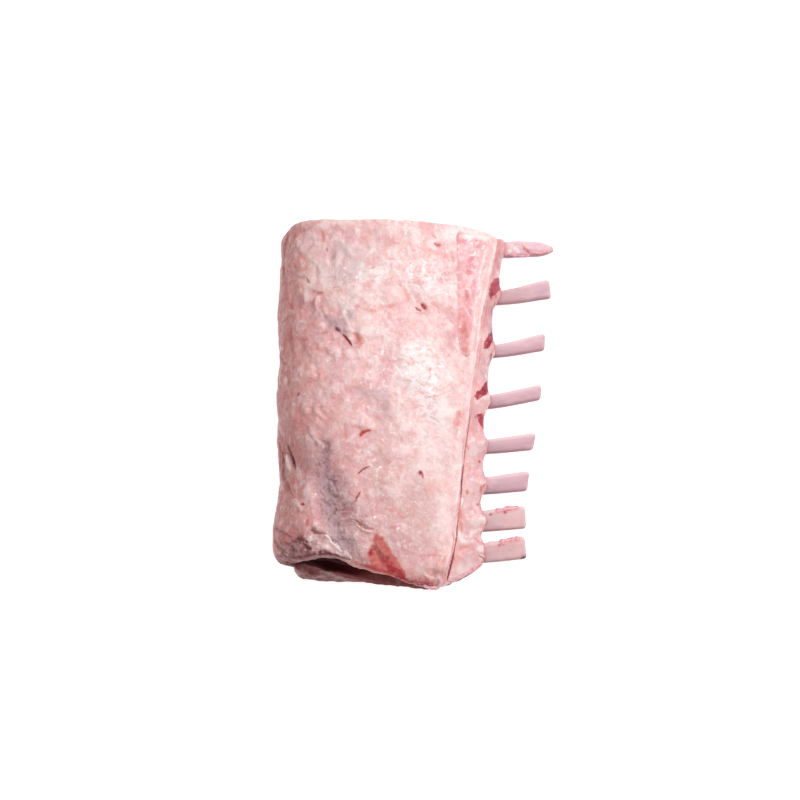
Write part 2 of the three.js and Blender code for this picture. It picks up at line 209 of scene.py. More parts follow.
class Finish(Nodes):
    """A material's tree. `mm` is the place on the piece in millimetres, and `base` its base colour."""

    def __init__(self, name):
        self.material = bpy.data.materials.new(name)
        self.material.use_nodes = True
        super().__init__(self.material.node_tree)
        self.tree.nodes.clear()
        place = self.add("ShaderNodeTexCoord").other("Object")
        self.mm = self.scaled(place, 1000.0)
        self.x, self.y, self.z = self.parts(self.mm)

    def parts(self, vector):
        """Its X, Y and Z."""
        first = self.add("ShaderNodeSeparateXYZ", {0: vector})
        return first, first.other("Y"), first.other("Z")

    def outward(self):
        """Which way the surface faces, as X, Y and Z from -1 to 1."""
        return self.parts(self.add("ShaderNodeAttribute", attribute_name="outward").other("Vector"))

    def painted(self, name):
        """What was painted on the piece under that name."""
        return self.add("ShaderNodeAttribute", attribute_name=name).other("Fac")

    def blend(self, factor, one, other):
        """One colour with the other one over it, by that factor."""
        return self.add("ShaderNodeMix", {"Factor": factor, "A": one, "B": other}, data_type="RGBA")

    def cover(self, tint, share):
        """Lays that colour over the base colour, by that share."""
        self.base = self.blend(share, self.base, tint)

    def warped(self, size, by):
        """The place, pushed aside by up to about `by` mm, so that patterns lose their regular look."""
        push = self.noise(self.mm, size, 1.0).other("Color")
        return self.moved(self.mm, self.scaled(self.moved(push, MIDDLE), 2.0 * by))

    def creases(self, at, size, sharp=3.0, detail=2.0, seed=0.0):
        """Thin winding ridges, 1 along their crests."""
        soft = self.noise(at, size, detail, seed=seed)
        return (1 - abs(soft * 2 - 1)) ** sharp

    def end(self, roughness, height, depth, wet, soft):
        """Closes the tree: bump of that depth in mm, a wet coat, and `soft` for how light goes in."""
        bump = self.add("ShaderNodeBump", {"Strength": 1.0, "Distance": depth * MM, "Height": height})
        values = {"Base Color": self.base, "Roughness": roughness, "Normal": bump, "Coat Weight": wet}
        surface = self.add("ShaderNodeBsdfPrincipled", values | soft)
        self.add("ShaderNodeOutputMaterial", {"Surface": surface})
        return self.material


class Maker(Nodes):
    """A Geometry Nodes tree with named inputs, run over a piece and then taken off it."""

    def __init__(self, name, inputs):
        super().__init__(bpy.data.node_groups.new(name, "GeometryNodeTree"))
        sockets = self.tree.interface
        sockets.new_socket("Geometry", in_out="OUTPUT", socket_type="NodeSocketGeometry")
        sockets.new_socket("Geometry", in_out="INPUT", socket_type="NodeSocketGeometry")
        self.identifiers = {
            label: sockets.new_socket(label, in_out="INPUT", socket_type=f"NodeSocket{kind}").identifier
            for label, kind in {"Material": "Material", **inputs}.items()
        }
        self.given = self.tree.nodes.new("NodeGroupInput")

    def take(self, label):
        return Value(self, self.given.outputs[label])

    def end(self, geometry):
        whole = self.add("GeometryNodeRealizeInstances", {"Geometry": geometry})
        dressed = {"Geometry": whole, "Material": self.take("Material")}
        self.add("NodeGroupOutput", {"Geometry": self.add("GeometryNodeSetMaterial", dressed)})
        return self

    def run(self, piece, sizes):
        modifier = piece.modifiers.new(self.tree.name, "NODES")
        modifier.node_group = self.tree
        for label, size in sizes.items():
            modifier[self.identifiers[label]] = size
        apply_modifiers(piece)


def apply_modifiers(piece):
    piece.data.update()
    evaluated = piece.evaluated_get(bpy.context.evaluated_depsgraph_get())
    mesh = bpy.data.meshes.new_from_object(evaluated)
    piece.modifiers.clear()
    old = piece.data
    piece.data = mesh
    bpy.data.meshes.remove(old)


# ---- Fine copies of the solids --------------------------------------------------------------


def new_object(name, mesh):
    piece = bpy.data.objects.new(name, mesh)
    bpy.context.scene.collection.objects.link(piece)
    return piece


def joined(nodes):
    """The solids of those nodes in one mesh, with each solid's corners merged."""
    body = bmesh.new()
    for node in nodes:
        body.from_mesh(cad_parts[node].data)
    bmesh.ops.remove_doubles(body, verts=body.verts, dist=0.002 * MM)
    mesh = bpy.data.meshes.new("solids")
    body.to_mesh(mesh)
    body.free()
    return mesh


def crease_lines(mesh, least_angle):
    """A mesh of the edges alone where the solid turns by more than that angle."""
    body = bmesh.new()
    body.from_mesh(mesh)
    sharp = [e for e in body.edges if e.calc_face_angle(0) > math.radians(least_angle)]
    ends = [(e.verts[0].co.copy(), e.verts[1].co.copy()) for e in sharp]
    body.free()
    lines = bpy.data.meshes.new("creases")
    pairs = [(2 * number, 2 * number + 1) for number in range(len(ends))]
    lines.from_pydata([place for pair in ends for place in pair], pairs, [])
    return lines


def relief_tree():
    """Smooths a fine copy, holding its creases, and raises soft lumps, round lobes with valleys between
    them, and dimples, on what is bare. Lumps and lobes are lower near the loin end and on what faces the
    chine side. It leaves measures on the surface: `relief`, its height in mm; `valley`, 1 along the
    valleys; `gap`, the distance to the next piece in mm; and `outward`, the way the surface faces."""
    tree = Maker("flesh_relief", {
        "Neighbours": "Object", "Creases": "Object", "Smoothing": "Int", "Crease Width": "Float",
        "Lump Size": "Float", "Lump Height": "Float", "Lobe Size": "Float", "Lobe Height": "Float",
        "Lobes From": "Float", "Lobes To": "Float", "Dimple Size": "Float", "Dimple Height": "Float",
        "Grain": "Vector", "Seed": "Float",
    })
    place = tree.add("GeometryNodeInputPosition")

    def away_from(label, element):
        shape = tree.add("GeometryNodeObjectInfo", {"Object": tree.take(label)}).other("Geometry")
        measure = tree.add("GeometryNodeProximity", {"Geometry": shape}, target_element=element)
        return measure.other("Distance")

    held = tree.rise(away_from("Creases", "EDGES"), 0.0, tree.take("Crease Width"), 0.12, 1.0)
    values = {"Value": place, "Iterations": tree.take("Smoothing"), "Weight": held}
    even = tree.add("GeometryNodeBlurAttribute", values, data_type="FLOAT_VECTOR")
    smooth = tree.add("GeometryNodeSetPosition", {"Geometry": tree.take("Geometry"), "Position": even})
    gap = away_from("Neighbours", "FACES")
    bare = tree.rise(gap, 0.6 * MM, 3.2 * MM)
    grained = tree.scaled(place, tree.take("Grain"))
    seed = tree.take("Seed")
    lobe_size = tree.take("Lobe Size")

    def waves(size, detail, offset):
        return tree.noise(grained, tree.take(size), detail, seed=seed + offset) * 2 - 1

    lumps = waves("Lump Size", 1.0, 0.0) * tree.take("Lump Height")
    dimples = waves("Dimple Size", 1.5, 7.0) * tree.take("Dimple Height")
    across = tree.add("ShaderNodeSeparateXYZ", {0: place})
    patches = tree.rise(waves("Lump Size", 1.0, 31.0), -0.3, 0.3, 0.25, 1.0)
    lobed = tree.rise(across, tree.take("Lobes From"), tree.take("Lobes To"), 1.0, 0.2) * patches
    aside = tree.noise(grained, lobe_size, 1.0, seed=seed).other("Color")
    bent = tree.moved(grained, tree.scaled(tree.moved(aside, MIDDLE), lobe_size * 2.4))
    values = {"Vector": bent, "Scale": 1 / lobe_size, "Smoothness": 0.6}
    from_middle = tree.add("ShaderNodeTexVoronoi", values, feature="SMOOTH_F1")
    lobes = (0.5 - tree.rise(from_middle, 0.1, 0.7)) * tree.take("Lobe Height") * lobed
    outward = tree.add("GeometryNodeInputNormal")
    across_chine = tree.add("ShaderNodeSeparateXYZ", {0: outward})
    loin_end = tree.rise(across.other("Y"), 103 * MM, 95 * MM, 0.3, 1.0)
    full = loin_end * tree.rise(across_chine, -0.95, -0.5, 0.35, 1.0)
    height = (lumps * full + lobes * full + dimples) * bare
    push = tree.stretched(outward, height)
    raised = tree.add("GeometryNodeSetPosition", {"Geometry": smooth, "Offset": push})
    measures = {
        "relief": ("FLOAT", height * 1000.0),
        "valley": ("FLOAT", tree.rise(from_middle, 0.4, 0.62) * lobed * bare),
        "gap": ("FLOAT", gap * 1000.0),
        "outward": ("FLOAT_VECTOR", outward),
    }
    for label, (kind, measure) in measures.items():
        values = {"Geometry": raised, "Name": label, "Value": measure}
        raised = tree.add("GeometryNodeStoreNamedAttribute", values, data_type=kind, domain="POINT")
    return tree.end(raised)


def rows(mesh, measure):
    """That measure at each of the mesh's corners, as rows of x, y, z."""
    flat = np.empty(len(mesh.vertices) * 3)
    mesh.vertices.foreach_get(measure, flat)
    return flat.reshape(-1, 3)


def corners(mesh):
    """The places of the mesh's corners in millimetres."""
    return rows(mesh, "co") / MM


def move_corners(mesh, at):
    mesh.vertices.foreach_set("co", (at * MM).ravel())
    mesh.update()


def surface_of(meshes):
    """The surface of those meshes together, in mm, for finding places on it."""
    places, faces = [], []
    for mesh in meshes:
        first = len(places)
        places += corners(mesh).tolist()
        faces += [tuple(first + corner for corner in face.vertices) for face in mesh.polygons]
    return BVHTree.FromPolygons(places, faces)


TOUCHING = 0.9  # how near another solid a corner lies out of sight, in mm
FINE_BAND = 5  # how many rows of fine faces are kept beside what shows
HIDDEN_SHARE = 0.08  # how many of the faces out of sight are kept
CREASE_ANGLE = 28  # from how many degrees on a turn of the solid is held as a crease


def thin_hidden(piece, others):
    """Takes most faces away where the piece lies on another one, out of sight."""
    mesh = piece.data
    tree = BVHTree.FromPolygons([v.co for v in others.vertices], [p.vertices for p in others.polygons])
    near = np.array([tree.find_nearest(v.co, TOUCHING * MM)[0] is not None for v in mesh.vertices])
    ends = np.empty(len(mesh.edges) * 2, np.int32)
    mesh.edges.foreach_get("vertices", ends)
    one, two = ends.reshape(-1, 2).T
    for _ in range(FINE_BAND):
        edge = ~(near[one] & near[two])
        near[one[edge]] = False
        near[two[edge]] = False
    group = piece.vertex_groups.new(name="hidden")
    group.add(np.flatnonzero(near).tolist(), 1.0, "REPLACE")
    share = near.mean()
    thin = piece.modifiers.new("thin", "DECIMATE")
    thin.ratio = 1 - share * (1 - HIDDEN_SHARE)
    thin.vertex_group = "hidden"
    thin.vertex_group_factor = 1.0
    apply_modifiers(piece)
    piece.vertex_groups.clear()


relief = relief_tree()


BESIDE = 2.0  # how near a rim lies to what it is set in, in mm


def lap_over(piece, node, reach):
    """Draws the rim of a piece out over what it lies in by `reach` mm, so that no seam shows."""
    around = joined([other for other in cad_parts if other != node])
    surface = surface_of([around])
    bpy.data.meshes.remove(around)
    mesh = piece.data
    at, out = corners(mesh), rows(mesh, "normal")
    for number in np.flatnonzero(out[:, 2] > 0.2):
        nearest, _, _, apart = surface.find_nearest(Vector(at[number]))
        aside = (nearest - Vector(at[number])) * Vector((1, 1, 0))
        if apart < BESIDE and aside.length > 0.5 * apart:
            at[number] += np.array(aside.normalized()) * reach * (1 - apart / BESIDE)
    move_corners(mesh, at)


SOFT_SIDES = np.array([0.6, 0.6, 0.05])  # how deep in the box the press begins, in mm on x, y and z


def within_box(piece):
    """Presses what stands out beyond the solids' box back into it, softly at its sides."""
    at = corners(piece.data)
    for side, limit in zip((-1, 1), cad_box):
        over = np.maximum(side * (at - np.array(limit) / MM) + SOFT_SIDES, 0)
        at -= side * (over - SOFT_SIDES * (1 - np.exp(-over / SOFT_SIDES)))
    move_corners(piece.data, at)


def fine_piece(name, node, voxel, sizes, material, grow=(0.0, 0.0)):
    """A fine copy of the node's solid with its relief, larger by `grow` mm sideways and upwards."""
    solid = joined([node])
    others = joined([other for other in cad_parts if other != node])
    piece = new_object(name, solid.copy())
    grid = piece.modifiers.new("grid", "REMESH")
    grid.mode = "VOXEL"
    grid.voxel_size = voxel * QUICK * MM
    apply_modifiers(piece)
    thin_hidden(piece, others)
    lines = crease_lines(solid, CREASE_ANGLE)
    helpers = [new_object("neighbours", others), new_object("creases", lines)]
    relief.run(piece, {"Material": material, "Neighbours": helpers[0], "Creases": helpers[1]} | sizes)
    for helper in helpers:
        bpy.data.objects.remove(helper)
    mesh = piece.data
    out = rows(mesh, "normal")
    upward = np.clip(out[:, 2:], 0, 1)
    wider = out * (grow[0] * (1 - upward) + grow[1] * upward)
    move_corners(mesh, corners(mesh) + wider)
    mesh.name = name
    mesh.shade_smooth()
    return piece


def sizes(smoothing, crease, lump, lobe, dimple, lobed=(1000, 1001), grain=(1, 1, 1), seed=0.0):
    """The relief's inputs, from pairs of size and height in mm. The lobes fade between two x."""
    pairs = {"Lump": lump, "Lobe": lobe, "Dimple": dimple}
    measures = {f"{label} Size": size * MM for label, (size, _) in pairs.items()}
    measures |= {f"{label} Height": height * MM for label, (_, height) in pairs.items()}
    measures |= {"Lobes From": lobed[0] * MM, "Lobes To": lobed[1] * MM}
    measures |= {"Smoothing": smoothing, "Crease Width": crease * MM, "Grain": grain, "Seed": seed}
    return measures


# ---- Marks: nicks, folds, ridges, stains, painted shade and painted glints ------------------

# Of these paints, the white glint paint lays painted highlights, and dusk and umber lay painted shade where
# the marks put them in creases, under the lip and on the chine side, besides their stains.
PAINTS = (
    "dusk", "grey", "flesh", "lilac", "cream", "salmon", "rust", "umber", "blood", "purple", "wet",
    "wrinkled",
)
NARROW = 0.95  # marks with less than this half width get finer faces
BESIDE_NARROW = 1.3  # how far from such a mark, in mm
ABOVE_ALL = 200  # a height above the whole rack, in mm


def mark(line, width, deep, lip=0.0, **paints):
    """One nick or fold: its line in plan, its half width and its depth, all in mm, how high its lips
    stand, and how strongly each paint shows in it. A line of one point makes a round one."""
    assert set(paints) <= set(PAINTS), paints
    return {"line": line, "width": width, "deep": deep, "lip": lip, "paints": paints, "filled": False}


def ridge(line, width, high, **paints):
    return mark(line, width, -high, **paints)


def stain(line, width, **paints):
    return mark(line, width, 0.0, **paints)


def patch(outline, edge, **paints):
    """A stain that fills that outline in plan, with an edge about `edge` mm wide."""
    return mark(outline, edge, 0.0, **paints) | {"filled": True}


def stains(places, width, **paints):
    """A round stain at each of the places."""
    return [stain([place], width, **paints) for place in places]


def laid_on(surface, line, step=0.8):
    """The line's points on the surface right below it, about a step apart, in mm."""
    plan = [np.array(line[0], float)]
    for start, end in zip(line, line[1:]):
        start, end = np.array(start, float), np.array(end, float)
        count = max(1, round(float(np.linalg.norm(end - start)) / step))
        plan += [start + (end - start) * number / count for number in range(1, count + 1)]
    found = [surface.ray_cast(Vector((x, y, ABOVE_ALL)), Vector((0, 0, -1)))[0] for x, y in plan]
    return np.array([place for place in found if place is not None])


def apart_from(places, line):
    """How far each place is from the line, and the share of the way along it of its nearest point."""
    if len(line) == 1:
        return np.linalg.norm(places - line[0], axis=1), np.full(len(places), 0.5)
    steps = np.diff(line, axis=0)
    lengths = np.maximum((steps ** 2).sum(1), 1e-9)
    best = np.full(len(places), 1e9)
    share = np.zeros(len(places))
    for number, (start, step, length) in enumerate(zip(line, steps, lengths)):
        along = np.clip((places - start) @ step / length, 0, 1)
        apart = np.linalg.norm(places - start - along[:, None] * step, axis=1)
        nearer = apart < best
        best[nearer] = apart[nearer]
        share[nearer] = (number + along[nearer]) / len(steps)
    return best, share


def depth_within(places, outline):
    """How far inside the outline each place is in plan, in mm, and less than 0 outside it."""
    line = np.array(outline + outline[:1], float)
    x, y = places[:, 0], places[:, 1]
    inside = np.zeros(len(places), bool)
    for (x0, y0), (x1, y1) in zip(line, line[1:]):
        crossed = (y0 > y) != (y1 > y)
        inside ^= crossed & (x < x0 + (y - y0) * (x1 - x0) / (y1 - y0 or 1e-9))
    apart = apart_from(places[:, :2], line)[0]
    return np.where(inside, apart, -apart)


def split_near(mesh, lines, reach):
    """Splits the faces beside those lines, so that narrow marks come out crisp."""
    at = corners(mesh)
    near = np.zeros(len(at), bool)
    for line in lines:
        close = np.flatnonzero(((at > line.min(0) - reach) & (at < line.max(0) + reach)).all(1))
        near[close] |= apart_from(at[close], line)[0] < reach
    body = bmesh.new()
    body.from_mesh(mesh)
    edges = [edge for edge in body.edges if near[edge.verts[0].index] and near[edge.verts[1].index]]
    bmesh.ops.subdivide_edges(body, edges=edges, cuts=1, use_grid_fill=True)
    body.to_mesh(mesh)
    body.free()


def unevenness(places, size):
    """Soft noise from -1 to 1 at each of the places, in blotches about `size` mm across."""
    return np.array([noise.noise((place / size).tolist()) for place in places])


def patch_cover(one, at, out):
    """Which corners a patch may reach, and how much of it each of them takes."""
    low, high = np.min(one["line"], axis=0) - 9, np.max(one["line"], axis=0) + 9
    close = np.flatnonzero(((at[:, :2] > low) & (at[:, :2] < high)).all(1) & (out[:, 2] > -0.2))
    ragged = unevenness(at[close], 2.4) * min(1.4, 0.4 + 0.5 * one["width"])
    cover = np.clip(0.5 + (depth_within(at[close], one["line"]) + ragged) / one["width"], 0, 1)
    return close, cover ** 2 * (3 - 2 * cover)


def widths_away(one, line, at, shift):
    """Which corners a line reaches, and how many of its half widths each of them is away from it."""
    reach = one["width"] * 3.6
    close = np.flatnonzero(((at > line.min(0) - reach) & (at < line.max(0) + reach)).all(1))
    apart, share = apart_from(at[close], line)
    uneven = unevenness(at[close] + shift, min(3.0, 0.8 + one["width"] * 0.6))
    tapers = len(line) > 3 and one["width"] < 2
    taper = np.clip(4 * share * (1 - share), 0.1, 1) ** 0.45 if tapers else 1.0
    return close, apart / (one["width"] * taper * (1 + 0.4 * uneven))


def work(piece, marks):
    """Presses and paints the marks into a piece, one after the other."""
    mesh = piece.data
    surface = surface_of([mesh])
    lines = [laid_on(surface, one["line"]) for one in marks]
    narrow = [
        line for one, line in zip(marks, lines)
        if one["width"] < NARROW and not one["filled"] and len(line)
    ]
    if narrow:
        split_near(mesh, narrow, BESIDE_NARROW)
    at, out = corners(mesh), rows(mesh, "normal")
    push = np.zeros(len(at))
    painted = {name: np.zeros(len(at)) for name in PAINTS}
    for number, (one, line) in enumerate(zip(marks, lines)):
        if len(line) == 0:
            continue
        if one["filled"]:
            close, cover = patch_cover(one, at, out)
        else:
            close, away = widths_away(one, line, at, 31.7 * number)
            lip = one["lip"] * np.exp(-((away - 1.9) ** 2) * 2)
            push[close] -= one["deep"] * np.exp(-(away ** 2)) - lip
            cover = np.exp(-0.8 * away ** 2)
        for name, strength in one["paints"].items():
            painted[name][close] = 1 - (1 - painted[name][close]) * (1 - strength * cover)
    move_corners(mesh, at + out * push[:, None])
    for name, values in painted.items():
        attribute = mesh.attributes.new(name, "FLOAT", "POINT")
        attribute.data.foreach_set("value", values.astype(np.float32))


# The cap, from the loin end to the shoulder end.
CAP_NICKS = [
    stain([(-48.5, 40.5), (-45, 38.4), (-42, 37)], 2.6, lilac=0.55, purple=0.18, blood=0.12),
    mark([(-45.9, 39.3), (-44.8, 37.7), (-43.3, 36.6)], 1.05, 0.35, purple=0.75, blood=0.3),
    stain([(-41.9, 35.2), (-40.2, 33.1), (-38.5, 30.8), (-36.8, 28.4)], 1.3, blood=0.5),
    mark([(-41.9, 35.2), (-40.2, 33.1), (-38.5, 30.8), (-36.8, 28.4)], 0.65, 0.3, 0.2, purple=0.4, blood=1),
    stain([(-36.4, 35.6), (-33.9, 34.9), (-32.4, 32.8), (-33.4, 30), (-35.4, 29.4)], 0.95, rust=0.45,
           salmon=0.5),
    ridge([(-42, 48.2), (-40.2, 44.5), (-38.5, 40.3), (-37.9, 37.4)], 1, 0.4, cream=0.6),
    stain([(2, 56.6), (4, 54.4), (6.6, 52.4)], 2.2, blood=0.3),
    mark([(3.4, 54.3), (4.4, 52.9)], 1.1, 0.35, 0.15, purple=0.2, blood=1),
    stain([(-8.4, 65), (-6.4, 60.8), (-4, 56.4), (-1.6, 53.6)], 1.2, salmon=0.5),
    mark([(-0.9, 53), (0.6, 51.6), (2.8, 50.9)], 0.6, 0.3, 0.3, rust=0.9, blood=0.5),
    mark([(10.1, 91.9), (12.4, 90.8), (14.7, 91.4)], 1, 0.1, 0.1, blood=0.6),
    stain([(12.2, 91.2)], 1.8, salmon=0.7, blood=0.15),
    stain([(18.5, 26.4)], 0.9, blood=0.4, salmon=0.4),
    stain([(7.7, 17.1)], 1, rust=0.6, blood=0.35),
    mark([(-31.6, -22.7), (-30.4, -21.2)], 1.2, 0.15, blood=0.8, rust=0.8),
    stain([(-30, -21), (-28.2, -20.2), (-26, -19.8)], 0.9, rust=0.9, blood=0.4),
    mark([(-33.5, -44.8), (-31.7, -43.3), (-29.3, -41.4), (-26.6, -40.4)], 0.55, 0.2, 0.1, blood=0.85,
          rust=0.3),
    mark([(-34.6, -60.4), (-33.5, -57.6), (-31.7, -54.6)], 0.75, 0.2, 0.1, blood=0.75, purple=0.2),
    mark([(1.8, -42.8)], 1.25, 0.4, 0.1, blood=0.95),
    stain([(1.6, -41.6), (3.2, -43.6), (3.6, -45.6)], 0.8, blood=0.6, rust=0.5),
    stain([(-51.8, 87.4), (-51, 84.6)], 0.7, blood=0.5, rust=0.5),
    stain([(-63.3, 70.3), (-62.4, 68.5), (-61.4, 66.4)], 0.7, blood=0.65),
    stain([(-65.4, -60.8), (-63.2, -61.2)], 0.9, blood=0.95),
    stain([(-65.8, -39.3)], 1.2, purple=0.25, lilac=0.6),
    # Painted shade: umber in the dark crease on the chine side.
    mark([(-70.5, -26.5)], 1.3, 0.5, purple=0.2, umber=0.55),
]

# The folds: shallow grooves whose creases are darkened with salmon, rust and umber, partly their own colour
# and partly painted shade.
CAP_FOLDS = [
    mark([(-77.6, 74.5), (-72.5, 72.6), (-68.8, 70.9), (-63.5, 70.2)], 1.17, 0.39, 0.12, salmon=0.69,
          umber=0.2),
    mark([(-73.8, 78.2), (-71.4, 82.1), (-67.2, 84), (-63.6, 80), (-64.2, 75.5), (-68.3, 74.6)], 1.17, 0.28,
          0.1, salmon=0.8),
    mark([(-69.6, 80), (-67.2, 78.4)], 1.43, 0.28, 0.1, salmon=0.8, rust=0.24),
    mark([(-75, 100.8), (-77, 94), (-77.2, 86), (-77.6, 76.3)], 2.3, 0.39, rust=0.9, umber=0.51),
    mark([(-75, 70.6), (-73.6, 62.7), (-73.4, 55.1)], 1.43, 0.28, 0.07, salmon=0.69),
    mark([(-67, 68), (-65.6, 64.6), (-65.2, 61.1)], 1.04, 0.22, salmon=0.8),
    mark([(-73.7, 57.2), (-70.8, 52.7)], 1.3, 0.33, 0.1, rust=0.6, umber=0.2),
    mark([(-68.3, 54), (-67.2, 49.4), (-66.7, 45.6)], 1.04, 0.28, 0.07, salmon=0.8, rust=0.24),
    mark([(-62.1, 45.8), (-56.9, 43.1), (-53.5, 44)], 1.17, 0.22, 0.07, lilac=0.5, salmon=0.34),
    mark([(-72, 41.5), (-71.3, 33.7), (-70.6, 26.6)], 1.69, 0.33, 0.1, rust=0.54, umber=0.16),
    mark([(-56.8, 30.4), (-57.2, 27.2), (-54.5, 25.4), (-51.7, 27.6)], 1.04, 0.33, 0.12, salmon=0.57,
          lilac=0.3),
    mark([(-79.5, 29.4), (-77.6, 25.6), (-75.6, 21.6)], 1.69, 0.44, 0.2, rust=0.9, umber=0.52),
    mark([(-76.9, 28), (-74.3, 32.2), (-75.6, 35.6)], 1.17, 0.33, 0.17, salmon=0.69),
    mark([(-37.2, 27), (-33, 27.8), (-30.6, 31), (-32.4, 34.8)], 1.04, 0.22, 0.1, salmon=0.69),
    mark([(-0.7, 88), (6.1, 87.6), (12.9, 84.6), (19.8, 86.8)], 1.4, 0.2, 0.1, salmon=0.34),
    mark([(-7, 88), (-6.2, 83.3), (-1.9, 81.3), (1.5, 82)], 1.3, 0.2, 0.1, salmon=0.29),
    mark([(-21, 20.9), (-14.3, 20), (-7.6, 20.4), (-2, 18.9)], 1.4, 0.06, 0.04, rust=0.35),
    mark([(-0.9, 20.7), (4.8, 17.8), (8.1, 13.4), (4.7, 6.3), (0.2, 9.4)], 0.78, 0.06, 0.04, rust=0.35),
    mark([(5.9, 28.3), (11.6, 25.5), (12.4, 19.8), (10.4, 14.8), (13.8, 10.6)], 0.78, 0.06, 0.04,
          rust=0.35),
    mark([(-9.8, 11.1), (-3.1, 9.2), (-8.7, 2.2)], 0.78, 0.06, 0.04, rust=0.35),
    mark([(10.3, 3.4), (17.2, 7.7), (21.8, 11.8)], 0.65, 0.06, 0.04, rust=0.35),
    mark([(5.8, 0.3), (12.6, 2), (20.6, 6.6)], 0.65, 0.06, 0.04, rust=0.35),
    mark([(-22, 4.3), (-15.2, 1.6), (-8.4, -0.2), (-2.7, -1.1)], 0.78, 0.06, 0.04, rust=0.25),
    mark([(-69.1, -5), (-57.6, -6.6), (-46.4, -6.4)], 1.04, 0.06, 0.04, rust=0.35),
    mark([(-78.9, -22), (-77.8, -30), (-78.6, -38.4)], 1.56, 0.39, 0.15, umber=0.52, rust=0.36),
    stain([(-75, -22), (-73.4, -27), (-71, -33), (-69.2, -37)], 2.2, umber=0.4),
    mark([(-73.6, -25.4), (-71.9, -29.7), (-70.2, -34.9), (-68.6, -41)], 1, 0.55, 0.3, umber=0.6,
          purple=0.15),
    mark([(-70.9, -33), (-69.4, -37.4)], 0.9, 0.3, purple=0.8, blood=0.3),
    mark([(-76.9, -28.2), (-75.9, -35.3), (-76.3, -41.8), (-73, -49.7), (-70.4, -55.5)], 1.56, 0.55, 0.2,
          umber=0.46),
    mark([(-53, -26.2), (-50.2, -29.1), (-50.7, -34.1), (-51.8, -38.5), (-49, -45.1), (-45.1, -53.9)], 1.95,
          0.39, 0.05, umber=0.23, lilac=0.6),
    mark([(-50.2, -25.3), (-49.8, -30.8)], 1.3, 0.28, umber=0.32, lilac=0.4),
    mark([(-40.6, -63.2)], 1.69, 0.33, 0.1, umber=0.36),
    mark([(-47.5, -66.5), (-42, -68.6), (-37, -66.8)], 1.04, 0.33, 0.12, umber=0.2),
    mark([(-36.2, -65.2), (-34.7, -65.9)], 1.04, 0.28, 0.1, umber=0.42, rust=0.36),
    mark([(-34, -71), (-31.2, -73.4), (-27.6, -75.1), (-24, -75.3)], 0.91, 0.5, 0.25, rust=0.54,
          umber=0.32),
    mark([(-36.3, -70.3), (-31.9, -71.3), (-27.5, -74)], 0.78, 0.28, 0.1, umber=0.26),
    mark([(-61.7, -69.6), (-61.7, -73.6)], 1.04, 0.33, 0.07, rust=0.84),
    mark([(-60, -75.5), (-57.2, -77.1), (-54, -77.6), (-51.2, -77.7)], 1.04, 0.5, 0.15, umber=0.62,
          blood=0.25),
    mark([(-49.6, -79.2), (-46.6, -82.2), (-43.4, -85.6), (-39.8, -88.6)], 1.04, 0.55, 0.1, umber=0.36,
          lilac=0.5),
    mark([(-68, -79.8), (-65, -80.8), (-61.7, -82.3)], 1.9, 0.6, 0.3, umber=0.95, purple=0.2),
    mark([(-63.8, -83.2), (-62, -85.4), (-59.4, -86.2)], 1.6, 0.6, 0.3, umber=0.85, purple=0.4),
    mark([(-64.8, -87.2)], 1.3, 0.33, blood=0.55, umber=0.42),
    mark([(-58.2, -75), (-57.6, -76.2)], 1.17, 0.33, umber=0.52),
    mark([(-67.2, -74.6), (-66.2, -76.4)], 1.17, 0.33, 0.1, rust=0.48, umber=0.36),
    mark([(-56, -88.5), (-52, -87.6), (-48.6, -88.8)], 1.6, 0.5, 0.2, umber=0.85),
    mark([(-81, -71.6), (-77.6, -74.4), (-74, -76.6), (-70.6, -79.2)], 1.17, 0.5, 0.2, umber=0.52,
          rust=0.36),
    mark([(-81.5, -78.6), (-77.6, -83.8), (-73, -87.4)], 1.3, 0.5, 0.2, umber=0.58),
    mark([(-74.6, -81.6), (-71, -83.4), (-68.6, -86.4)], 1.2, 0.5, 0.3, umber=0.6),
    mark([(16.4, -88.1), (15.6, -91), (13.8, -93.3)], 1.04, 0.22, 0.1, salmon=0.69),
    mark([(4.6, -100.4), (6, -97.6), (8.6, -97), (10.4, -98.6)], 0.9, 0.15, 0.15, rust=0.35, cream=0.3),
]

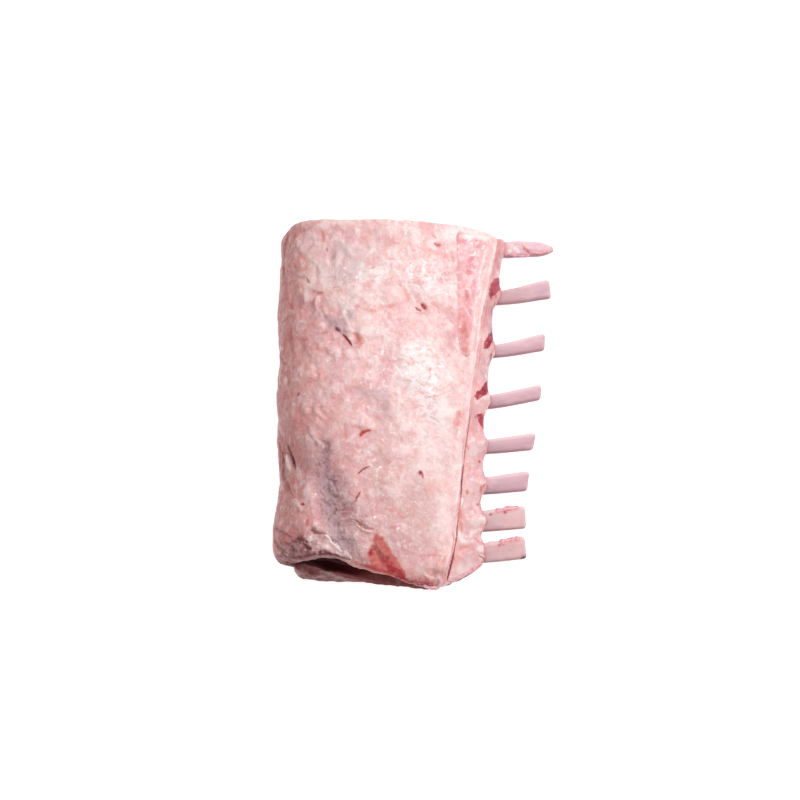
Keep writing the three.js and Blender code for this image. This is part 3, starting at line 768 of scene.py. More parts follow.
CAP_RIDGES = [
    ridge([(-6.4, 65.2), (-3.6, 60.3), (-0.6, 55.8)], 1.1, 0.5, cream=0.8),
    ridge([(3.4, 58.6), (1.4, 55), (3, 52.6)], 1, 0.4, cream=0.5),
    ridge([(10, 21.8), (13.8, 22.8), (17.6, 22.6)], 0.9, 0.5, cream=0.9),
    ridge([(-79, 33.2), (-76.6, 31.2)], 1.2, 0.6, cream=0.6),
    ridge([(-36.6, 41.4), (-36.2, 35.4)], 1.2, 0.5, cream=0.3),
    ridge([(-31.9, -43.4), (-29.4, -42.8)], 0.7, 0.3, cream=0.5),
    ridge([(-74.2, -30.6), (-73.1, -34.8), (-71.7, -40.6)], 1.7, 0.8, cream=0.7),
    ridge([(-68.2, -36), (-66.4, -41.6), (-67, -47)], 1.4, 0.5, cream=0.25),
    ridge([(-57.8, -71.2), (-56.4, -73.6)], 1.8, 0.8, cream=0.55),
    ridge([(-73.1, -74.6)], 2, 0.8, cream=0.4),
    ridge([(-77.4, -70.9), (-75, -69.8)], 1.6, 0.6, cream=0.4),
    ridge([(-52.8, -84.6), (-49.8, -86.4)], 1.8, 0.7, cream=0.35, lilac=0.3),
    ridge([(-68.5, -90), (-72.5, -88)], 2, 0.8, cream=0.4),
    ridge([(-60.2, -79.4), (-56.6, -80.6)], 1.5, 0.6, cream=0.4),
    # Raised ridges, painted pale and white along their crests as painted highlights.
    ridge([(-51.7, -78.4), (-49.6, -79.6), (-47.6, -82.4)], 0.7, 0.8, cream=0.8, wet=0.4),
    ridge([(-48.6, -82.4), (-45.4, -83.8), (-43.6, -86)], 0.95, 0.9, cream=0.9, wet=0.5),
    ridge([(-43.8, -86.6), (-41, -87.4), (-38.2, -89.8), (-36.6, -91.4)], 0.7, 0.7, cream=0.7, wet=0.3),
    ridge([(-45.6, -87.6), (-42, -90)], 0.6, 0.6, cream=0.6),
    ridge([(-44.4, -89.6), (-40, -91.6), (-36, -93.2)], 1, 0.5, cream=0.4),
    ridge([(-34, -73), (-30.4, -75.2), (-25.8, -76.8)], 0.7, 0.7, cream=0.85),
    ridge([(-45.1, -66.4), (-41.8, -69.6), (-43, -75.5)], 1.4, 0.4, cream=0.3),
    ridge([(4.7, -99.6), (7.6, -100.9), (10.4, -101.4)], 1.1, 0.7, cream=0.5),
    ridge([(12.2, -101), (14, -102)], 1.1, 0.7, cream=0.8),
    ridge([(46.8, 97), (44.6, 88), (42, 76), (39.8, 64), (37.8, 52), (36.2, 40), (34.4, 26), (31.6, 8),
           (29.2, -10), (26.8, -28), (24.4, -46), (22, -64), (19.6, -82), (15.4, -98)], 1.7, 0.25,
           cream=0.4),
    mark([(44.6, 95.4), (42.7, 84.9), (40.2, 73.6), (37.7, 61.5), (35.9, 49.4), (34.3, 37.3), (33.4, 25.5),
          (31.6, 13.8)], 0.7, 0.15, salmon=0.35, lilac=0.2),
]

# Broad tones. The dusk and umber stains are painted shade, darker on the chine side, at the lower left and
# along the shoulder end, where the surface falls away from the light; lilac shows where the fat is
# thinner, cream stains are paler and salmon ones pinker.
CAP_TONES = [
    stain([(-66, -16), (-66, -30), (-60, -42)], 9, dusk=0.34),
    stain([(-48, -28), (-42, -40)], 9, dusk=0.22),
    stain([(-43, -56), (-42, -74), (-34, -84)], 8.5, dusk=0.3),
    stain([(-66, -76), (-66, -90)], 9, dusk=0.25),
    patch([(-65.7, -81.5), (-62.3, -84.9), (-55.5, -86.2), (-48.8, -88.4), (-42, -92.5), (-57.3, -93),
           (-71.6, -92), (-77.6, -88), (-75.1, -83.9), (-69.7, -81.3)], 2.4, dusk=0.4, lilac=0.35,
           umber=0.15, wrinkled=0.3),
    patch([(-60.6, -77.8), (-56.7, -77.3), (-52.1, -81.2), (-48.8, -84.5), (-52.1, -86.2), (-57.8, -85.1),
           (-61.7, -82.7)], 2.4, cream=0.4),
    stain([(-79, -78), (-76, -92)], 6, dusk=0.45, umber=0.1),
    stain([(-76, 92), (-77, 60), (-78, 20), (-78, -20), (-78, -60)], 4.5, dusk=0.2),
    stain([(-76, 96), (-78, 76), (-78, 50), (-79, 20)], 3, rust=0.3, umber=0.1),
    stain([(-44, -92), (-20, -96), (-8, -100), (8, -102), (18, -98)], 4.5, dusk=0.4, salmon=0.25),
    stain([(-60, 40), (-60, 6), (-56, -6)], 9, dusk=0.12, salmon=0.2),
    stain([(14, 24), (17, 6), (15, -14), (11, -40)], 8, cream=0.3),
    stain([(16, 98), (30, 101), (40, 98)], 4.5, cream=0.7),
    stain([(16, 80), (18, 60), (20, 34)], 6, salmon=0.12),
    stain([(-28, -60), (-20, -78), (0, -62)], 9, dusk=0.16),
    stain([(-22, -18), (-18, -44)], 8, dusk=0.12, salmon=0.1),
    stain([(-54, -18), (-50, -44), (-46, -62)], 7, dusk=0.2),
    stain([(-40, -64), (-32, -74)], 5, dusk=0.3, salmon=0.2),
    stain([(-36, 10), (-26, 28)], 8, cream=0.2),
    stain([(14, -58), (13, -74)], 7, cream=0.5),
    stain([(4, -34), (2, -42)], 6, cream=0.4),
    stain([(15, -1), (14, -14)], 6, cream=0.4),
    stain([(-54, 68), (-52, 74)], 6, cream=0.35),
    stain([(-54, -26), (-50, -36)], 5, umber=0.2),
    stain([(-46, -46), (-44, -52)], 4, umber=0.12),
    stain([(-77, -30), (-74, -50)], 4, dusk=0.3),
    stain([(-66, 91), (-54, 91)], 6, cream=0.35),
    stain([(14, 21), (15, 45)], 6, salmon=0.15, dusk=0.08),
    stain([(-65, 10), (-54, 10)], 6, salmon=0.3),
    stain([(-20, -36), (-30, -27)], 7, dusk=0.2),
    stain([(22, -94), (12, -96)], 5, dusk=0.25, salmon=0.2),
    stain([(-66, -82), (-54, -83)], 5, dusk=0.45),
]

CAP_STAINS = [
    stain([(-45, 86), (-34, 80), (-36, 70), (-43, 72)], 5.5, grey=0.5),
    stain([(-43.4, 80.4), (-41, 70)], 3.5, lilac=0.2),
    patch([(-29.9, 98), (-19.5, 97), (-14, 90), (-17.5, 84), (-29.5, 85.5)], 4, umber=0.08, grey=0.3,
           salmon=0.2),
    stain([(-54.7, 98.2), (-53.4, 94.4), (-53.6, 91)], 1.3, rust=0.5, salmon=0.5),
    stain([(-72.6, 100.2), (-71, 98)], 2, rust=0.7, blood=0.15),
    stain([(-65.3, 101.6), (-65.1, 98.6)], 1.3, rust=0.5),
    stain([(-56.2, 60.3), (-54.4, 60.3)], 1, rust=0.8),
    stain([(-59.6, 61.7), (-57.5, 61)], 0.9, rust=0.35),
    stain([(-49.2, 60.9), (-48.2, 58.4)], 0.9, rust=0.35),
    stain([(-51.8, 45.8)], 1.1, rust=0.5, lilac=0.3),
    stain([(-54.4, 36.6), (-50.2, 36.4)], 1, rust=0.55),
    stain([(-56.4, 36.4)], 0.9, rust=0.5),
    stain([(-64.6, 33.4), (-62.8, 33.4)], 1, rust=0.6),
    stain([(-71.1, 18)], 0.9, rust=0.7),
    stain([(-67.3, 2.2)], 1.1, rust=0.9, blood=0.5),
    stain([(-33.9, 51.4)], 1.4, rust=0.45),
    stain([(-30.9, 50), (-25.7, 48.6), (-18.8, 51.5), (-12.1, 53)], 1.5, salmon=0.45),
    *stains([(-25.7, 48.8), (-15, 52.4)], 1.3, salmon=0.6, rust=0.2),
    stain([(-4, 61), (-0.9, 59.6)], 2.2, salmon=0.4),
    stain([(-16, 58), (-8, 52)], 4.5, salmon=0.35),
    stain([(12.9, 51.3)], 1, blood=0.35),
    stain([(-34, 34), (-31.5, 29.5)], 2, rust=0.35, salmon=0.4),
    stain([(9, 97.2), (11.3, 95.6)], 1.1, salmon=0.8),
    stain([(-26.8, 97.1), (-30.2, 89.1)], 2.4, salmon=0.4),
    stain([(-29.8, 1.3), (-23.2, 3.3), (-17.6, 2.4)], 3.2, lilac=0.45),
    stain([(-23.1, -1.9), (-18.7, -2.8)], 5, lilac=0.4),
    stain([(-18.7, -7.1), (-12, -9.1), (-17.6, -12.5)], 4, lilac=0.3),
    stain([(-66.7, -10.6), (-56.4, -14.9), (-45.2, -13.2)], 5, salmon=0.4),
    stain([(-40, -20.8), (-39.7, -25.2)], 1.5, salmon=0.8, rust=0.15),
    stain([(-55.2, -21.7)], 1.5, salmon=0.6),
    stain([(-24.2, -32.2), (-22, -33.8)], 1.3, salmon=0.6, lilac=0.2),
    stain([(-12, -43.9), (-9.8, -47.1)], 1.4, lilac=0.3, salmon=0.3),
    stain([(-7.6, -53), (-5.4, -55.6), (-3.2, -58.5)], 1.3, lilac=0.35, salmon=0.35),
    stain([(-9.3, -67.4), (-7.6, -68.4), (-4.8, -67.2)], 0.9, rust=0.45, blood=0.1),
    stain([(-15.3, -74.3), (-12, -73.8)], 1.2, rust=0.45),
    stain([(-56.5, 60.4), (-64, 52)], 6, lilac=0.25),
    stain([(-57, 47.7), (-47.9, 42.6), (-41.1, 42.2), (-37.8, 46.8)], 2.8, lilac=0.6),
    stain([(-50, -50), (-50, -64), (-46, -76), (-42, -84)], 5.5, lilac=0.75),
    stain([(-54, -34), (-55, -44), (-50, -56)], 5, lilac=0.5),
    stain([(-42, -48), (-41, -62)], 5.5, lilac=0.4),
    stain([(-36, -84), (-32, -90)], 5, lilac=0.3),
    stain([(-70.8, -67.3)], 0.8, rust=0.8),
    stain([(3.3, -88.9), (8.3, -88.2), (11.6, -88.1)], 1, rust=0.5),
    stain([(11.6, -91.3), (10.9, -95.6)], 1.2, rust=0.35),
    patch([(-22.4, -76.1), (-24.7, -81.7), (-26.9, -86.2), (-28, -89.6), (-26.3, -93.4), (-28.6, -96),
           (-25.2, -98), (-18.5, -100), (-9.5, -103.5), (-5, -104.5), (-6.7, -98.1), (-9.5, -93.8),
           (-12.9, -87.9), (-15.7, -84.1), (-20.2, -78.2)], 2.6, rust=0.8, salmon=0.3, blood=0.2),
    patch([(-24.1, -81.6), (-21.9, -83.7), (-18.5, -88), (-15.1, -92.8), (-13.5, -97.2), (-17.4, -95.1),
           (-21.9, -89.9), (-25.2, -86.1)], 2.4, umber=0.6),
    patch([(-17.4, -94), (-13.5, -95), (-9.5, -97.6), (-5, -101.9), (-10.1, -102.5), (-15.7, -99)], 2.2,
           blood=0.7),
    patch([(-21, -91), (-16.5, -90.5), (-12.5, -94), (-9, -98), (-14, -98.5), (-19, -96)], 2.6, blood=0.45),
    stain([(-25.9, -88.3)], 1.3, blood=1),
    *stains([(-16.4, -91), (-14.4, -93.2)], 1, blood=0.6),
    stain([(-28, -96.2), (-20.9, -98.2), (-14, -100)], 1.5, rust=0.6, salmon=0.6),
    stain([(-12, -101), (-5.4, -103), (1.1, -104), (7, -104.6)], 2.3, blood=0.5, umber=0.5),
    # Painted shade: umber and purple along the underside of the lip's rim.
    stain([(-79, -87.2), (-75.6, -88.6), (-72.3, -89), (-67.6, -90.3), (-62.9, -89.8), (-58.4, -89),
           (-53.9, -88.5), (-48.9, -88.7), (-43.3, -89.8), (-37.6, -92)], 1.2, umber=0.8, purple=0.3),
    stain([(-37.6, -92.2), (-32, -94.4), (-26.4, -96.1), (-20.8, -97.7), (-15.1, -98.9)], 1.1, blood=0.5,
           rust=0.5),
    stain([(-2.5, -101), (4, -102.6), (10, -103.6)], 1.6, salmon=0.6, blood=0.15),
    patch([(24.9, 101.1), (27.3, 101.4), (27.8, 82.6), (28.2, 66), (28.2, 52.8), (28.7, 39.3), (30.4, 29.8),
           (28.6, 26.4), (25.7, 29.1), (24.6, 41.6), (24, 52.1), (23.5, 65.2), (23.6, 74.4), (24.8, 86.3)],
           1.4, salmon=0.5),
    *stains([(25.4, 79.5), (25, 62), (25.2, 49), (25.6, 43), (26.2, 36)], 1.5, rust=0.35),
    patch([(26.3, 30.5), (29.2, 30.7), (31.6, 28.6), (29.8, 26.5), (26.9, 27.5), (24.5, 29)], 1.2, rust=0.4,
           salmon=0.5),
    patch([(23.2, -4.9), (25.5, -5.2), (25.5, -9.4), (24.9, -14.1), (22, -14.9), (20.3, -12.2), (22, -8.6)],
           1.6, rust=0.3, salmon=0.6),
    patch([(-6.6, 79), (2, 82.2), (13.6, 80.9), (22.4, 71.2), (23, 60.5), (13.5, 58.1), (2, 59.7),
           (-7.2, 66)], 8, wrinkled=0.55, cream=0.1),
    patch([(-8.4, 29.6), (4.8, 34.8), (14.6, 29), (18, 16.4), (13.3, 4.1), (20.3, -5.2), (16.8, -17.1),
           (4.7, -12.4), (-2.7, -0.5), (-9.5, 13.8)], 8, wrinkled=0.7, cream=0.1),
    # Painted glints: small white spots where the wet fat shines.
    *stains([(-48, 78.2), (-43.3, 76.7), (-38.7, 77.8), (-45, 72.6), (-36.9, 64.6), (-48.4, 63.9),
             (-46.2, 75), (-40.6, 79), (-42.6, 66), (-50.4, 70.4), (-33.8, 74.6)], 0.4, wet=0.9),
    *stains([(-41, 74.2), (-41.6, 70), (-34.1, 68.9)], 0.65, wet=0.9),
    stain([(11.4, 19), (16.2, 19.4)], 0.8, wet=0.7),
    stain([(19.2, 13.8), (20.2, 12.4)], 0.9, wet=0.7),
    patch([(3.6, 14.6), (8.4, 15.6), (12, 12.4), (11.6, 6.2), (7.4, 3.8), (4, 6.4), (5.8, 9.8)], 2,
           wet=0.15, wrinkled=0.4),
    *stains([(-3.3, 29.4), (-19.2, 25.7), (24.6, -17.6), (-12.2, 21.4), (-0.4, 25)], 0.9, wet=0.7),
    stain([(-12.7, 17.8), (-9.6, 14.4), (-7.2, 10.4)], 0.8, wet=0.7),
    stain([(25, -16.6), (23.2, -20.9)], 0.7, wet=0.45),
    stain([(4, -22), (14, -34)], 10, wrinkled=0.3),
    stain([(-34, 72), (-26, 70)], 9, wrinkled=0.5),
    stain([(-30, -72), (-44, -82)], 6, wrinkled=0.3),
]

STRIP_MARKS = [
    stain([(29, 48), (29, 34)], 4, blood=0.12, salmon=0.35),
    stain([(29, 76), (29, 60)], 4, blood=0.06),
    patch([(24.9, 101.1), (28, 101.4), (28.2, 82.6), (28.6, 66), (29, 52.8), (29.4, 39.3), (30.4, 29.8),
           (28.6, 26.4), (25.7, 29.1), (24.6, 41.6), (24, 52.1), (23.5, 65.2), (23.6, 74.4), (24.8, 86.3)],
           2.2, salmon=0.3),
    *stains([(26.4, 82), (26.8, 75.4), (26.2, 66.4), (26.2, 58.4), (26.5, 50.2)], 1.3, rust=0.4),
    stain([(27, 90), (27, 74)], 3, cream=0.3),
    stain([(27.6, 45.6), (27.8, 41.4)], 2.2, rust=0.55, salmon=0.4),
    stain([(28.3, 30.4)], 1.9, rust=0.55, salmon=0.4),
    stain([(29.4, 62.2)], 1.5, blood=0.4, salmon=0.4),
    stain([(31.9, 78), (29.4, 77.2)], 1.3, blood=0.28),
    stain([(30.2, 89.9), (32.9, 92.2), (35.7, 94.4)], 0.9, blood=0.3),
    stain([(31.6, 85), (34.6, 87.2)], 0.9, blood=0.25),
    *stains([(29.4, 39), (31, 36)], 1.1, blood=0.25, salmon=0.3),
    ridge([(32.8, 95), (31, 93)], 0.8, 0.3, cream=0.9),
    ridge([(34.7, 90.6), (33.8, 87.3), (31.1, 86.8)], 0.8, 0.35, cream=1),
    ridge([(40.3, 94.2), (38.2, 91.4)], 0.8, 0.3, cream=0.9),
    ridge([(36.6, 96), (34.4, 93)], 0.7, 0.25, cream=0.8),
    ridge([(30.4, 66), (31.8, 63.6)], 0.8, 0.2, cream=0.7),
    ridge([(29, 55), (30.4, 50)], 0.9, 0.2, cream=0.6),
    stain([(42, 93.6), (40, 87.4), (38, 80.6), (35.7, 66.4), (33.9, 55.4), (33.2, 46), (31.4, 36)], 1.5,
           cream=0.5),
    stain([(28, 98.4), (34, 99.4), (41, 98.8)], 2, cream=0.9),
]

ROOTS = [
    (52.2, 98.4), (50.7, 69.5), (47.3, 36.3), (43.1, 4.9), (42, -21.6), (41.1, -44.7), (40.9, -65.2),
    (40.5, -84.2),
]


def collar(x, y):
    """The raised fat round a rib's root, and the stain beside it."""
    return [
        ridge([(x - 1.6, y - 2.4), (x - 1.4, y + 2.4)], 3.2, 0.8),
        stain([(x + 0.8, y - 4.2), (x + 1.2, y), (x + 0.8, y + 4.2)], 1.1, salmon=0.5),
    ]


# The fat over the ribs: its groove along the cap's cut edge, the meat that shows between the ribs'
# roots, and the stains and wrinkles round each root.
COVER_MARKS = [
    # The groove's dark line: partly blood and partly painted shade in the crease between cap and cover.
    mark([(49.8, 102.5), (48.5, 97.8), (47.4, 90), (45.4, 79.5)], 0.9, 0.4, salmon=0.4, blood=0.25),
    mark([(45.2, 78.5), (42.6, 66.4), (40.6, 55), (38.4, 39.6), (36.8, 26), (34, 8), (31.8, -4)], 0.7, 0.3,
          salmon=0.2, dusk=0.3),
    mark([(31.4, -4), (30.4, -12), (28.4, -24.9), (27.4, -34)], 0.55, 0.5, blood=0.6, salmon=0.5),
    mark([(27.4, -34), (26.1, -44.3), (25.6, -53)], 0.5, 0.7, blood=0.85, purple=0.4),
    mark([(25.4, -53), (24.4, -62), (23.8, -68)], 0.5, 0.4, blood=0.35, salmon=0.6),
    mark([(23.8, -67), (23, -76), (21.8, -83)], 0.5, 0.6, blood=0.65, purple=0.25),
    mark([(21.8, -83), (20.4, -89.6), (18.6, -96), (17.4, -101)], 0.6, 0.6, purple=0.5, blood=0.9),
    patch([(44.2, 74.3), (46.1, 77.9), (48, 79.7), (51, 78.8), (50.6, 74.5), (48.8, 70.8), (46, 68),
           (44.2, 66.5), (43, 67.4), (43, 70.4)], 0.8, flesh=1, blood=0.2, purple=0.2),
    *stains([(44.2, 69.4), (43.9, 66.6), (47.6, 75.4)], 1.2, purple=0.45),
    *stains([(42.6, 39.4), (44.8, 44.6), (39.4, 10.6), (41.8, 14.6), (38.6, -5.4)], 1.3, purple=0.5),
    *stains([(40.8, 36.4), (36.6, 7), (49.8, 77.4)], 1.1, rust=0.4, cream=0.2),
    *stains([(44.4, 65.8), (46.8, 67.6), (43.2, 67.4)], 1.2, rust=0.75),
    stain([(46.6, 64.1), (46.2, 60.4), (46.4, 56.2), (46.2, 51.3), (44.8, 45.5)], 0.8, blood=0.55,
           flesh=0.6),
    patch([(44.6, 47.4), (45.8, 43.7), (44.2, 38.9), (41.4, 34.4), (39.1, 34.6), (39.7, 38.1),
           (41.6, 42.2)], 0.8, flesh=1, blood=0.5, purple=0.2),
    stain([(43.9, 33), (43.9, 28.1), (43.7, 23.7), (43, 18.9)], 0.8, blood=0.6, flesh=0.6),
    patch([(42.4, 18), (43.2, 11.5), (41, 8), (37.7, 6), (35.3, 4), (34.2, 6.3), (36, 9.6), (39, 13.5)],
           0.8, flesh=1, blood=0.6, purple=0.2),
    patch([(35.4, -4.4), (38.6, -2.4), (40.6, -5.4), (40.8, -12.6), (38.4, -11.2), (36, -7.2)], 0.8,
           flesh=1, blood=0.5),
    stain([(34.8, -5.6)], 1.2, purple=0.4, lilac=0.6),
    stain([(39.9, -12.2), (40.4, -17)], 0.6, blood=0.7),
    stain([(45, 61.8), (44.5, 58.8), (45.2, 54.1), (46, 48.6)], 0.8, blood=0.55, purple=0.15),
    stain([(45, 60), (44.4, 52), (43, 46)], 2.4, lilac=0.7),
    stain([(41, 27), (39.4, 18)], 1.8, lilac=0.45),
    *stains([(36.6, -31.6), (35.6, -56.6)], 0.9, blood=0.75),
    stain([(40.4, -59.4), (41.6, -60.2)], 0.8, blood=0.95),
    stain([(29.6, -22.6), (30.2, -25.4)], 1.2, rust=0.5, salmon=0.4),
    stain([(29, -49), (29.4, -51.4)], 1.2, rust=0.75),
    stain([(31.6, -50.8), (34, -50.4)], 1.1, rust=0.4),
    stain([(36.8, -49.9), (37.4, -47.2), (39.7, -44.7)], 1, rust=0.7),
    stain([(25.4, -60), (25.2, -65.5), (26.1, -72.7)], 1.7, rust=0.45, salmon=0.5),
    mark([(25.5, -83.6), (28.4, -82.8), (30.7, -81.6)], 2.4, 0.8, 0.2, salmon=0.55, rust=0.2),
    ridge([(23.8, -75.5), (26.1, -78), (28.4, -79.6)], 2, 0.6, cream=0.6),
    mark([(36.3, -84.9), (38.4, -85.6), (40.3, -86.8)], 0.6, 0.5, 0.25, rust=0.5),
    mark([(35.3, -86.6), (37.4, -87.4), (39.2, -88.9)], 0.6, 0.5, 0.25, rust=0.4),
    mark([(33.6, -76), (35.6, -79), (39, -79.6)], 0.8, 0.5, 0.3, salmon=0.7),
    mark([(36.5, -91.6), (33.6, -94), (30.7, -95.9), (27.6, -97.6), (24.9, -98.9), (22, -100.4),
          (19.1, -101.8)], 0.7, 0.8, 0.3, rust=0.7, umber=0.45),
    # Small raised ridges painted pale as painted highlights.
    ridge([(26.4, -53.4), (25.8, -58)], 0.8, 0.4, cream=0.9),
    ridge([(24.6, -73), (24.2, -76)], 0.8, 0.4, cream=0.9),
    ridge([(30, -76.6), (33, -72.6), (38, -71)], 1.6, 0.5, cream=0.4),
    *[one for root in ROOTS for one in collar(*root)],
    stain([(32, -64), (34, -80)], 9, wrinkled=0.6),
    stain([(46, 96), (44, 60)], 8, wrinkled=0.4),
]

BONE_MARKS = {
    "rib_2": [
        stain([(52, 70), (64, 72)], 5, grey=0.4, dusk=0.45),
    ],
    "rib_1": [
        ridge([(63.4, 103), (66.6, 101.8), (70.6, 100.8), (75.3, 100.9), (79.6, 101.6)], 2.3, 0.5,
               cream=0.3, blood=0.12),
        mark([(63.8, 102.5), (65, 100.1), (66.8, 98.4), (69.3, 97.9)], 0.8, 0.2, 0.1, salmon=0.6, rust=0.3),
        *stains([(65, 100.2), (67, 99)], 1, rust=0.45, salmon=0.3),
        stain([(71.6, 97.6), (75.7, 98.2), (79.1, 99.6)], 1.1, blood=0.45, salmon=0.4),
        # Painted shade: near black along the rib's lower edge.
        stain([(73.8, 96.3), (77.2, 96.9)], 1.5, purple=1, umber=1),
        stain([(81.6, 102.4)], 0.8, rust=0.5),
        *stains([(57.5, 102.1), (56.5, 98.4), (59.3, 100.3), (61.4, 98.4)], 1.2, cream=0.8),
        stain([(55, 95.6), (59.6, 95.6), (66, 96.2)], 0.9, blood=0.4, umber=0.3),
        stain([(53.8, 100.6), (53.8, 96.2)], 0.9, salmon=0.8, blood=0.15),
    ],
    "rib_7": [
        stain([(43, -61), (48, -60), (54, -58.8), (61, -57.6)], 1, blood=0.25, salmon=0.5),
        *stains([(43.2, -61.4), (51.6, -59.6)], 0.9, blood=0.7),
    ],
    "rib_8": [
        stain([(48, -82), (62, -79)], 5, dusk=0.3),
        stain([(43, -80.6), (50, -78.6), (57, -76.6), (62, -75.4)], 1, blood=0.2, salmon=0.5),
        *stains([(48.2, -78.9), (50.4, -78.2)], 0.8, blood=0.7),
        # Painted shade: near black along the rib's lower edge.
        stain([(54.6, -88.2), (60, -86.9), (63.2, -85.6)], 1.7, umber=1, purple=0.7),
    ],
}

# The lower layer where it shows beyond the cap at the shoulder end.
LEAN_MARKS = [
    mark([(-71.5, -95.4), (-67, -93)], 1.2, 0.3, 0.1, umber=0.45),
    stain([(-62, -97), (-56, -95.4)], 1.6, umber=0.45),
    stain([(-54, -98), (-50, -96.4)], 1.2, umber=0.35),
    stain([(-46, -99), (-38, -98)], 1.8, umber=0.6),
    stain([(-36, -101), (-28, -101.4)], 2, umber=0.7, purple=0.2),
    stain([(-20, -103), (-10, -104.4), (0, -105.4)], 2, umber=0.8, purple=0.3),
]


# ---- Materials ------------------------------------------------------------------------------

FAT_SOFT = {
    "Subsurface Weight": 0.35, "Subsurface Radius": (1.0, 0.45, 0.35), "Subsurface Scale": 2.2 * MM,
    "IOR": 1.42, "Specular IOR Level": 0.35, "Coat Roughness": 0.15, "Coat IOR": 1.4,
}
MEAT_SOFT = FAT_SOFT | {"Subsurface Radius": (1.0, 0.25, 0.2), "Subsurface Scale": 1.6 * MM}
BONE_SOFT = FAT_SOFT | {"Subsurface Weight": 0.2, "Subsurface Scale": 1.2 * MM, "Coat Roughness": 0.3}


def stained(finish, at):
    """Covers the base colour with everything that was painted on the piece, with ragged edges."""
    ragged = (finish.noise(at, 1.6, 2.0, 0.5, seed=21.0) - 0.5) * 0.5
    # Among these, the white glint paint gives painted highlights, and dusk and umber give painted shade
    # where the marks laid them for it.
    paints = {
        "dusk": DUSK_FAT, "grey": GREY_FAT, "flesh": FLESH, "lilac": LILAC_FAT, "cream": IVORY_FAT,
        "salmon": SALMON, "rust": RUST, "umber": UMBER, "blood": CRIMSON, "purple": PURPLE,
        "wet": PAINTED_GLINT_WHITE,
    }
    for name, paint in paints.items():
        shown = finish.painted(name)
        ragged_shown = shown + ragged * finish.rise(shown, 0.02, 0.4)
        finish.cover(paint, finish.rise(ragged_shown, 0.0, 1.0))


def mottled(finish, at, strength):
    """Fine pale and dull flecks, one to three millimetres across, among them white specks that are painted
    glints.
    """
    fine = finish.noise(at, 1.6, 2.0, 0.6, seed=31.0)
    flecks = finish.noise(finish.scaled(at, (1.0, 0.7, 1.0)), 3.2, 2.0, 0.5, seed=32.0)
    finish.cover(BLUSH, finish.rise(flecks, 0.5, 0.3) * strength)
    finish.cover(IVORY_FAT, finish.rise(flecks, 0.5, 0.7) * strength)
    finish.cover(SALMON, finish.rise(fine, 0.52, 0.74) * strength)
    # Painted glints: fine white specks in the base colour.
    finish.cover(PAINTED_GLINT_WHITE, finish.rise(fine, 0.46, 0.28) * strength * 1.5)


def glints(finish, wrinkled):
    """How much small wet spots shine."""
    spots = finish.noise(finish.mm, 2.2, 3.0, 0.6, seed=33.0)
    return finish.rise(spots, 0.4, 0.62) * (0.6 + wrinkled * 0.4)


